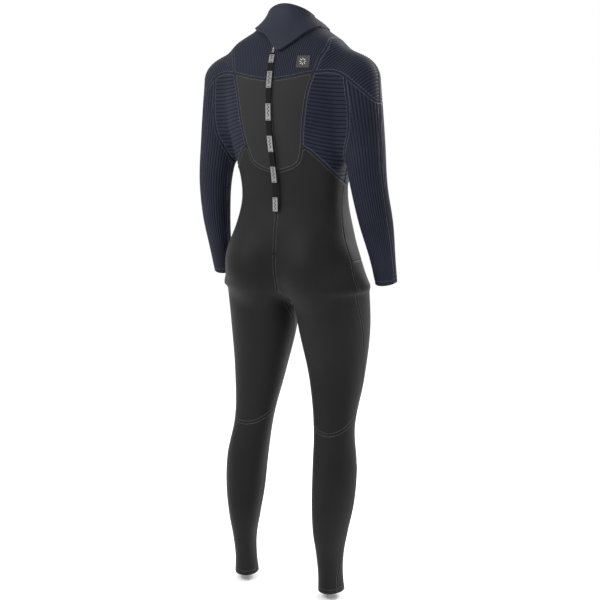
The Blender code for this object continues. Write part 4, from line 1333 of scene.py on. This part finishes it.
def leash_pieces():
    middle, out, marks = (values[1:] for values in leash_frames(LEASH_ROWS))
    xs = edged(-LEASH_WIDTH / 2, LEASH_WIDTH / 2, 25, 0.0008)
    grid = strap_grid(middle, xs)
    normals = np.repeat(out[:, None], len(xs), axis=1)
    shape = Shape()
    ridge = rib(xs / (LEASH_WIDTH / LEASH_RIDGES) + 0.5)[None, :] * LEASH_RIDGE_HEIGHT
    twill = rib(marks[:, None] / TWILL_PITCH + np.abs(xs)[None, :] / TWILL_PITCH) * TWILL_HEIGHT
    half = LEASH_THICKNESS / 2
    add_soft_sheet(shape, grid, normals, half, -half, relief=ridge + twill)
    fold = marks > marks[-1] - LEASH_FOLD
    add_soft_sheet(shape, grid[fold], normals[fold], -half - 0.0001, -half * 2.8)
    last = np.searchsorted(marks, marks[-1] - LEASH_END_STITCH)
    row = np.repeat(middle[last][None], 5, axis=0) + out[last] * half
    row[:, 0] = np.linspace(-LEASH_STITCH_REACH, LEASH_STITCH_REACH, 5)
    add_stitches(shape, row, np.repeat(out[last][None], 5, axis=0), slant=0.0)
    leash = shape.build("pull_leash_webbing", [CLOTHS["webbing"], CLOTHS["thread"]])
    settle(leash, "pull_leash", "pull_leash")
    labels = [label(i, start, end) for i, (start, end) in enumerate(label_spans())]


def label_spans():
    spans = [FIRST_LABEL]
    for i in range(LABEL_COUNT):
        start = LABEL_START + i * LABEL_PITCH
        spans.append((start, start + LABEL_LENGTH))
    return spans


def label(number, start, end):
    """A woven label with a plain pattern of bars and diamonds."""
    middle, out, marks = leash_frames(LEASH_ROWS * 3)
    rows = np.flatnonzero((marks >= start) & (marks <= end))
    xs = edged(-LEASH_WIDTH / 2 + LABEL_EDGE, LEASH_WIDTH / 2 - LABEL_EDGE, 14, 0.0006)
    grid = strap_grid(middle[rows], xs)
    normals = np.repeat(out[rows][:, None], len(xs), axis=1)
    shape = Shape()
    face = LEASH_THICKNESS / 2 + LABEL_HEIGHT
    weave = rib(marks[rows][:, None] / LABEL_WEAVE) * LABEL_WEAVE_HEIGHT
    add_soft_sheet(shape, grid, normals, face, face - LABEL_THICKNESS, relief=weave)
    for at, width, turn in label_marks(end - start):
        row = rows[0] + int(round(at / (marks[1] - marks[0])))
        if row >= rows[-1]:
            continue
        along = middle[row + 1] - middle[row]
        along /= np.linalg.norm(along)
        across = np.array((math.cos(turn), 0, 0)) + along * math.sin(turn)
        place = middle[row] + out[row] * (face + STITCH_LIFT)
        add_bars(shape, place[None], across[None], out[row][None], np.array((width, *MARK_SIZE)))
    piece = shape.build(f"leash_label_{number + 1}_weave", [CLOTHS["label"], CLOTHS["label_mark"]])
    settle(piece, "pull_leash", f"leash_label_{number + 1}")
    return piece


def label_marks(length):
    """(distance along the label, width, turn) of each dark bar."""
    marks = [(MARK_END, MARK_END_WIDTH, 0.0), (length - MARK_END, MARK_END_WIDTH, 0.0)]
    count = int((length - MARK_ENDS) / MARK_PITCH)
    for i in range(count):
        at = MARK_START + i * MARK_PITCH
        marks.append((at, MARK_WIDTH, math.radians(MARK_TURN if i % 2 else -MARK_TURN)))
    return marks


def badge():
    """A plain square moulded patch with a raised rim and a ring of short bars."""
    grid = back_grid(edged(*BADGE_ACROSS, 20, BADGE_EDGE), edged(*BADGE_HEIGHTS, 20, BADGE_EDGE))
    normals = outward(grid)
    shape = Shape()
    past_rim = smooth_step((edge_distance(grid) - BADGE_RIM_WIDTH) / BADGE_EDGE)
    rim_height = BADGE_RIM_HEIGHT * (1 - past_rim)
    top = add_soft_sheet(shape, grid, normals, *BADGE_LAYER, relief=rim_height)
    middle_row, middle_column = (n // 2 for n in grid.shape[:2])
    centre_place = top[middle_row, middle_column]
    up = normals[middle_row, middle_column]
    right = np.cross(up, (0, 0, 1.0))
    right /= np.linalg.norm(right)
    rise = np.cross(right, up)
    turns = np.radians(np.arange(0, 360, 360 // BADGE_SPOKES))
    spokes = np.cos(turns)[:, None] * right + np.sin(turns)[:, None] * rise
    places = centre_place + spokes * BADGE_SPOKE_REACH
    add_bars(shape, places, spokes, np.tile(up, (BADGE_SPOKES, 1)), np.array(BADGE_SPOKE_SIZE))
    piece = shape.build("shoulder_badge_patch", [CLOTHS["badge"], CLOTHS["badge_mark"]])
    settle(piece, "torso", "shoulder_badge")


# ---------------------------------------------------------------- materials
def new_material(name):
    """A new node material, its nodes, its links and its shader."""
    made = bpy.data.materials.new(name)
    made.use_nodes = True
    tree = made.node_tree
    return made, tree.nodes, tree.links, tree.nodes["Principled BSDF"]


def set_inputs(node, values):
    for socket, value in values.items():
        node.inputs[socket].default_value = value


def cloth(name, dark, light, roughness, grain=1500.0, bump=0.35, sheen=0.04):
    """Knit cloth: fine loops as bump and colour grain, with slow changes of tone across the suit."""
    made, nodes, links, shader = new_material(name)
    set_inputs(shader, {"Roughness": roughness, "Sheen Weight": sheen, "Sheen Roughness": 0.45,
                        "Specular IOR Level": 0.12})
    place = nodes.new("ShaderNodeTexCoord")
    fine = nodes.new("ShaderNodeTexNoise")
    set_inputs(fine, {"Scale": grain, "Detail": 2.0})
    loops = nodes.new("ShaderNodeTexVoronoi")
    set_inputs(loops, {"Scale": grain * 0.6})
    broad = nodes.new("ShaderNodeTexNoise")
    set_inputs(broad, {"Scale": 5.0, "Detail": 3.0})
    for node in (fine, loops, broad):
        links.new(place.outputs["Object"], node.inputs["Vector"])
    tone = nodes.new("ShaderNodeMath")
    tone.operation = "MULTIPLY_ADD"
    set_inputs(tone, {1: 0.45})
    links.new(fine.outputs["Fac"], tone.inputs[0])
    half_broad = nodes.new("ShaderNodeMath")
    half_broad.operation = "MULTIPLY"
    set_inputs(half_broad, {1: 0.55})
    links.new(broad.outputs["Fac"], half_broad.inputs[0])
    links.new(half_broad.outputs[0], tone.inputs[2])
    ramp = nodes.new("ShaderNodeValToRGB")
    for stop, position, colour in zip(ramp.color_ramp.elements, (0.34, 0.66), (dark, light)):
        stop.position = position
        stop.color = (*colour, 1)
    links.new(tone.outputs[0], ramp.inputs["Fac"])
    links.new(ramp.outputs["Color"], shader.inputs["Base Color"])
    height = nodes.new("ShaderNodeBump")
    set_inputs(height, {"Strength": bump, "Distance": 0.0003})
    links.new(loops.outputs["Distance"], height.inputs["Height"])
    links.new(height.outputs["Normal"], shader.inputs["Normal"])
    return made


def metal(name, colour, roughness):
    """Plated metal, a little uneven in its polish."""
    made, nodes, links, shader = new_material(name)
    set_inputs(shader, {"Base Color": (*colour, 1), "Metallic": 1.0})
    place = nodes.new("ShaderNodeTexCoord")
    noise = nodes.new("ShaderNodeTexNoise")
    set_inputs(noise, {"Scale": 600.0})
    spread = nodes.new("ShaderNodeMapRange")
    set_inputs(spread, {"To Min": roughness * 0.8, "To Max": roughness * 1.3})
    links.new(place.outputs["Object"], noise.inputs["Vector"])
    links.new(noise.outputs["Fac"], spread.inputs["Value"])
    links.new(spread.outputs["Result"], shader.inputs["Roughness"])
    return made


# each cloth: its material's name, darkest and lightest colour, roughness and what else it changes
CLOTH_LOOKS = {
    "navy_rib": ("navy_rib_knit", (0.0062, 0.0075, 0.0160), (0.0135, 0.0160, 0.0300), 0.62, {}),
    # painted shade: a darker navy for the faces in the grooves between ribs, standing in for the shade that
    # falls there
    "navy_groove": ("navy_groove_knit", (0.0018, 0.0022, 0.0050), (0.0045, 0.0055, 0.0110), 0.75, {}),
    "navy_collar": ("navy_collar_knit", (0.0090, 0.0105, 0.0190), (0.0150, 0.0170, 0.0280), 0.62, {}),
    "charcoal_jersey": ("charcoal_knit", (0.0095, 0.0095, 0.0100), (0.0165, 0.0165, 0.0172), 0.66, {}),
    "black_jersey": ("black_knit", (0.0045, 0.0045, 0.0050), (0.0095, 0.0095, 0.0102), 0.60, {}),
    "guard": ("guard_skin", (0.005, 0.005, 0.0055), (0.009, 0.009, 0.0095), 0.50, {"grain": 500}),
    "tape": ("tape_weave", (0.004, 0.004, 0.0045), (0.008, 0.008, 0.0085), 0.80, {"grain": 1100}),
    "coil": ("coil_nylon", (0.008,) * 3, (0.013,) * 3, 0.30, {"sheen": 0.0, "bump": 0.05}),
    "webbing": ("webbing_weave", (0.0015, 0.0015, 0.0018), (0.0040, 0.0040, 0.0045), 0.75,
                {"grain": 1000}),
    "label": ("label_weave", (0.13,) * 3, (0.24, 0.24, 0.235), 0.70, {"grain": 1300}),
    "label_mark": ("label_mark_weave", (0.02,) * 3, (0.04,) * 3, 0.75, {}),
    "badge": ("badge_rubber", (0.030, 0.031, 0.028), (0.045, 0.046, 0.042), 0.50,
              {"grain": 400, "sheen": 0.0}),
    "badge_mark": ("badge_mark_rubber", (0.55, 0.55, 0.54), (0.70, 0.70, 0.68), 0.50,
                   {"grain": 400, "sheen": 0.0}),
    "loop": ("loop_pile", (0.010,) * 3, (0.022,) * 3, 0.95, {"grain": 700, "sheen": 0.15}),
    "hook": ("hook_tape", (0.020,) * 3, (0.034,) * 3, 0.55, {"grain": 700, "sheen": 0.0}),
    "thread": ("seam_thread", (0.11, 0.11, 0.115), (0.17, 0.17, 0.175), 0.60, {"sheen": 0.0}),
    "thread_dark": ("collar_thread", (0.014, 0.016, 0.025), (0.024, 0.026, 0.036), 0.60, {"sheen": 0.0}),
}


def make_cloths():
    made = {}
    for key, (name, dark, light, roughness, more) in CLOTH_LOOKS.items():
        made[key] = cloth(name, dark, light, roughness, **more)
    made["metal"] = metal("slider_plating", (0.07, 0.07, 0.075), 0.30)
    return made


# ---------------------------------------------------------------- camera, floor and light
CAMERA_AZIMUTH = math.radians(208)
CAMERA_HEIGHT = math.radians(10)
CAMERA_DISTANCE = 2.83
CAMERA_AIM = (0.0, 0.025, -0.708)
CAMERA_LENS = 64.62
CAMERA_SHIFT = 0.015
FLOOR_GAP = 0.020
FLOOR_REACH = 90.0
WORLD_STRENGTH = 1.0
KEY_POWER = 45
RIM_POWER = 60


def aim_at_suit(made, azimuth, height, distance):
    """Places a camera or light around the suit and turns it to the suit's middle."""
    flat = math.cos(height)
    away = Vector((math.sin(azimuth) * flat, -math.cos(azimuth) * flat, math.sin(height)))
    made.location = Vector(CAMERA_AIM) + away * distance
    made.rotation_mode = "QUATERNION"
    made.rotation_quaternion = (-away).to_track_quat("-Z", "Y")
    bpy.context.scene.collection.objects.link(made)


def make_camera():
    data = bpy.data.cameras.new("camera")
    data.lens = CAMERA_LENS
    data.sensor_width = 36.0
    data.shift_x = CAMERA_SHIFT
    made = bpy.data.objects.new("camera", data)
    aim_at_suit(made, CAMERA_AZIMUTH, CAMERA_HEIGHT, CAMERA_DISTANCE)
    bpy.context.scene.camera = made


def soft_light(name, azimuth, height, distance, size, power):
    data = bpy.data.lights.new(name, "AREA")
    data.shape = "DISK"
    data.size = size
    data.energy = power
    made = bpy.data.objects.new(name, data)
    aim_at_suit(made, math.radians(azimuth), math.radians(height), distance)


def plain_sheet(name, corners, tone):
    mesh = bpy.data.meshes.new(name)
    mesh.from_pydata(corners, [], [[0, 1, 2, 3]])
    made = bpy.data.objects.new(name, mesh)
    bpy.context.scene.collection.objects.link(made)
    pale, _, _, shader = new_material(name)
    set_inputs(shader, {"Base Color": (tone, tone, tone, 1), "Roughness": 1.0, "Specular IOR Level": 0.0})
    mesh.materials.append(pale)


def make_stage():
    """A plain pale floor under the ankles, a pale surround and soft lights."""
    low, _ = CAD_BOX
    z = low.z - FLOOR_GAP
    r = FLOOR_REACH
    plain_sheet("floor", [(-r, -r, z), (r, -r, z), (r, r, z), (-r, r, z)], 1.0)
    world = bpy.data.worlds.new("studio")
    world.use_nodes = True
    set_inputs(world.node_tree.nodes["Background"], {"Color": (1, 1, 1, 1), "Strength": WORLD_STRENGTH})
    bpy.context.scene.world = world
    bpy.context.scene.view_settings.view_transform = "Standard"
    soft_light("key", 150, 40, 2.6, 1.2, KEY_POWER)
    soft_light("rim_right", 330, 30, 2.4, 1.2, RIM_POWER)


# ---------------------------------------------------------------- the whole suit
make_camera()
CLOTHS = make_cloths()
leash_pieces()
zip_pieces()
collar_pieces()
badge()
yokes()
ribbed_panels()
smooth_panels()
make_stage()
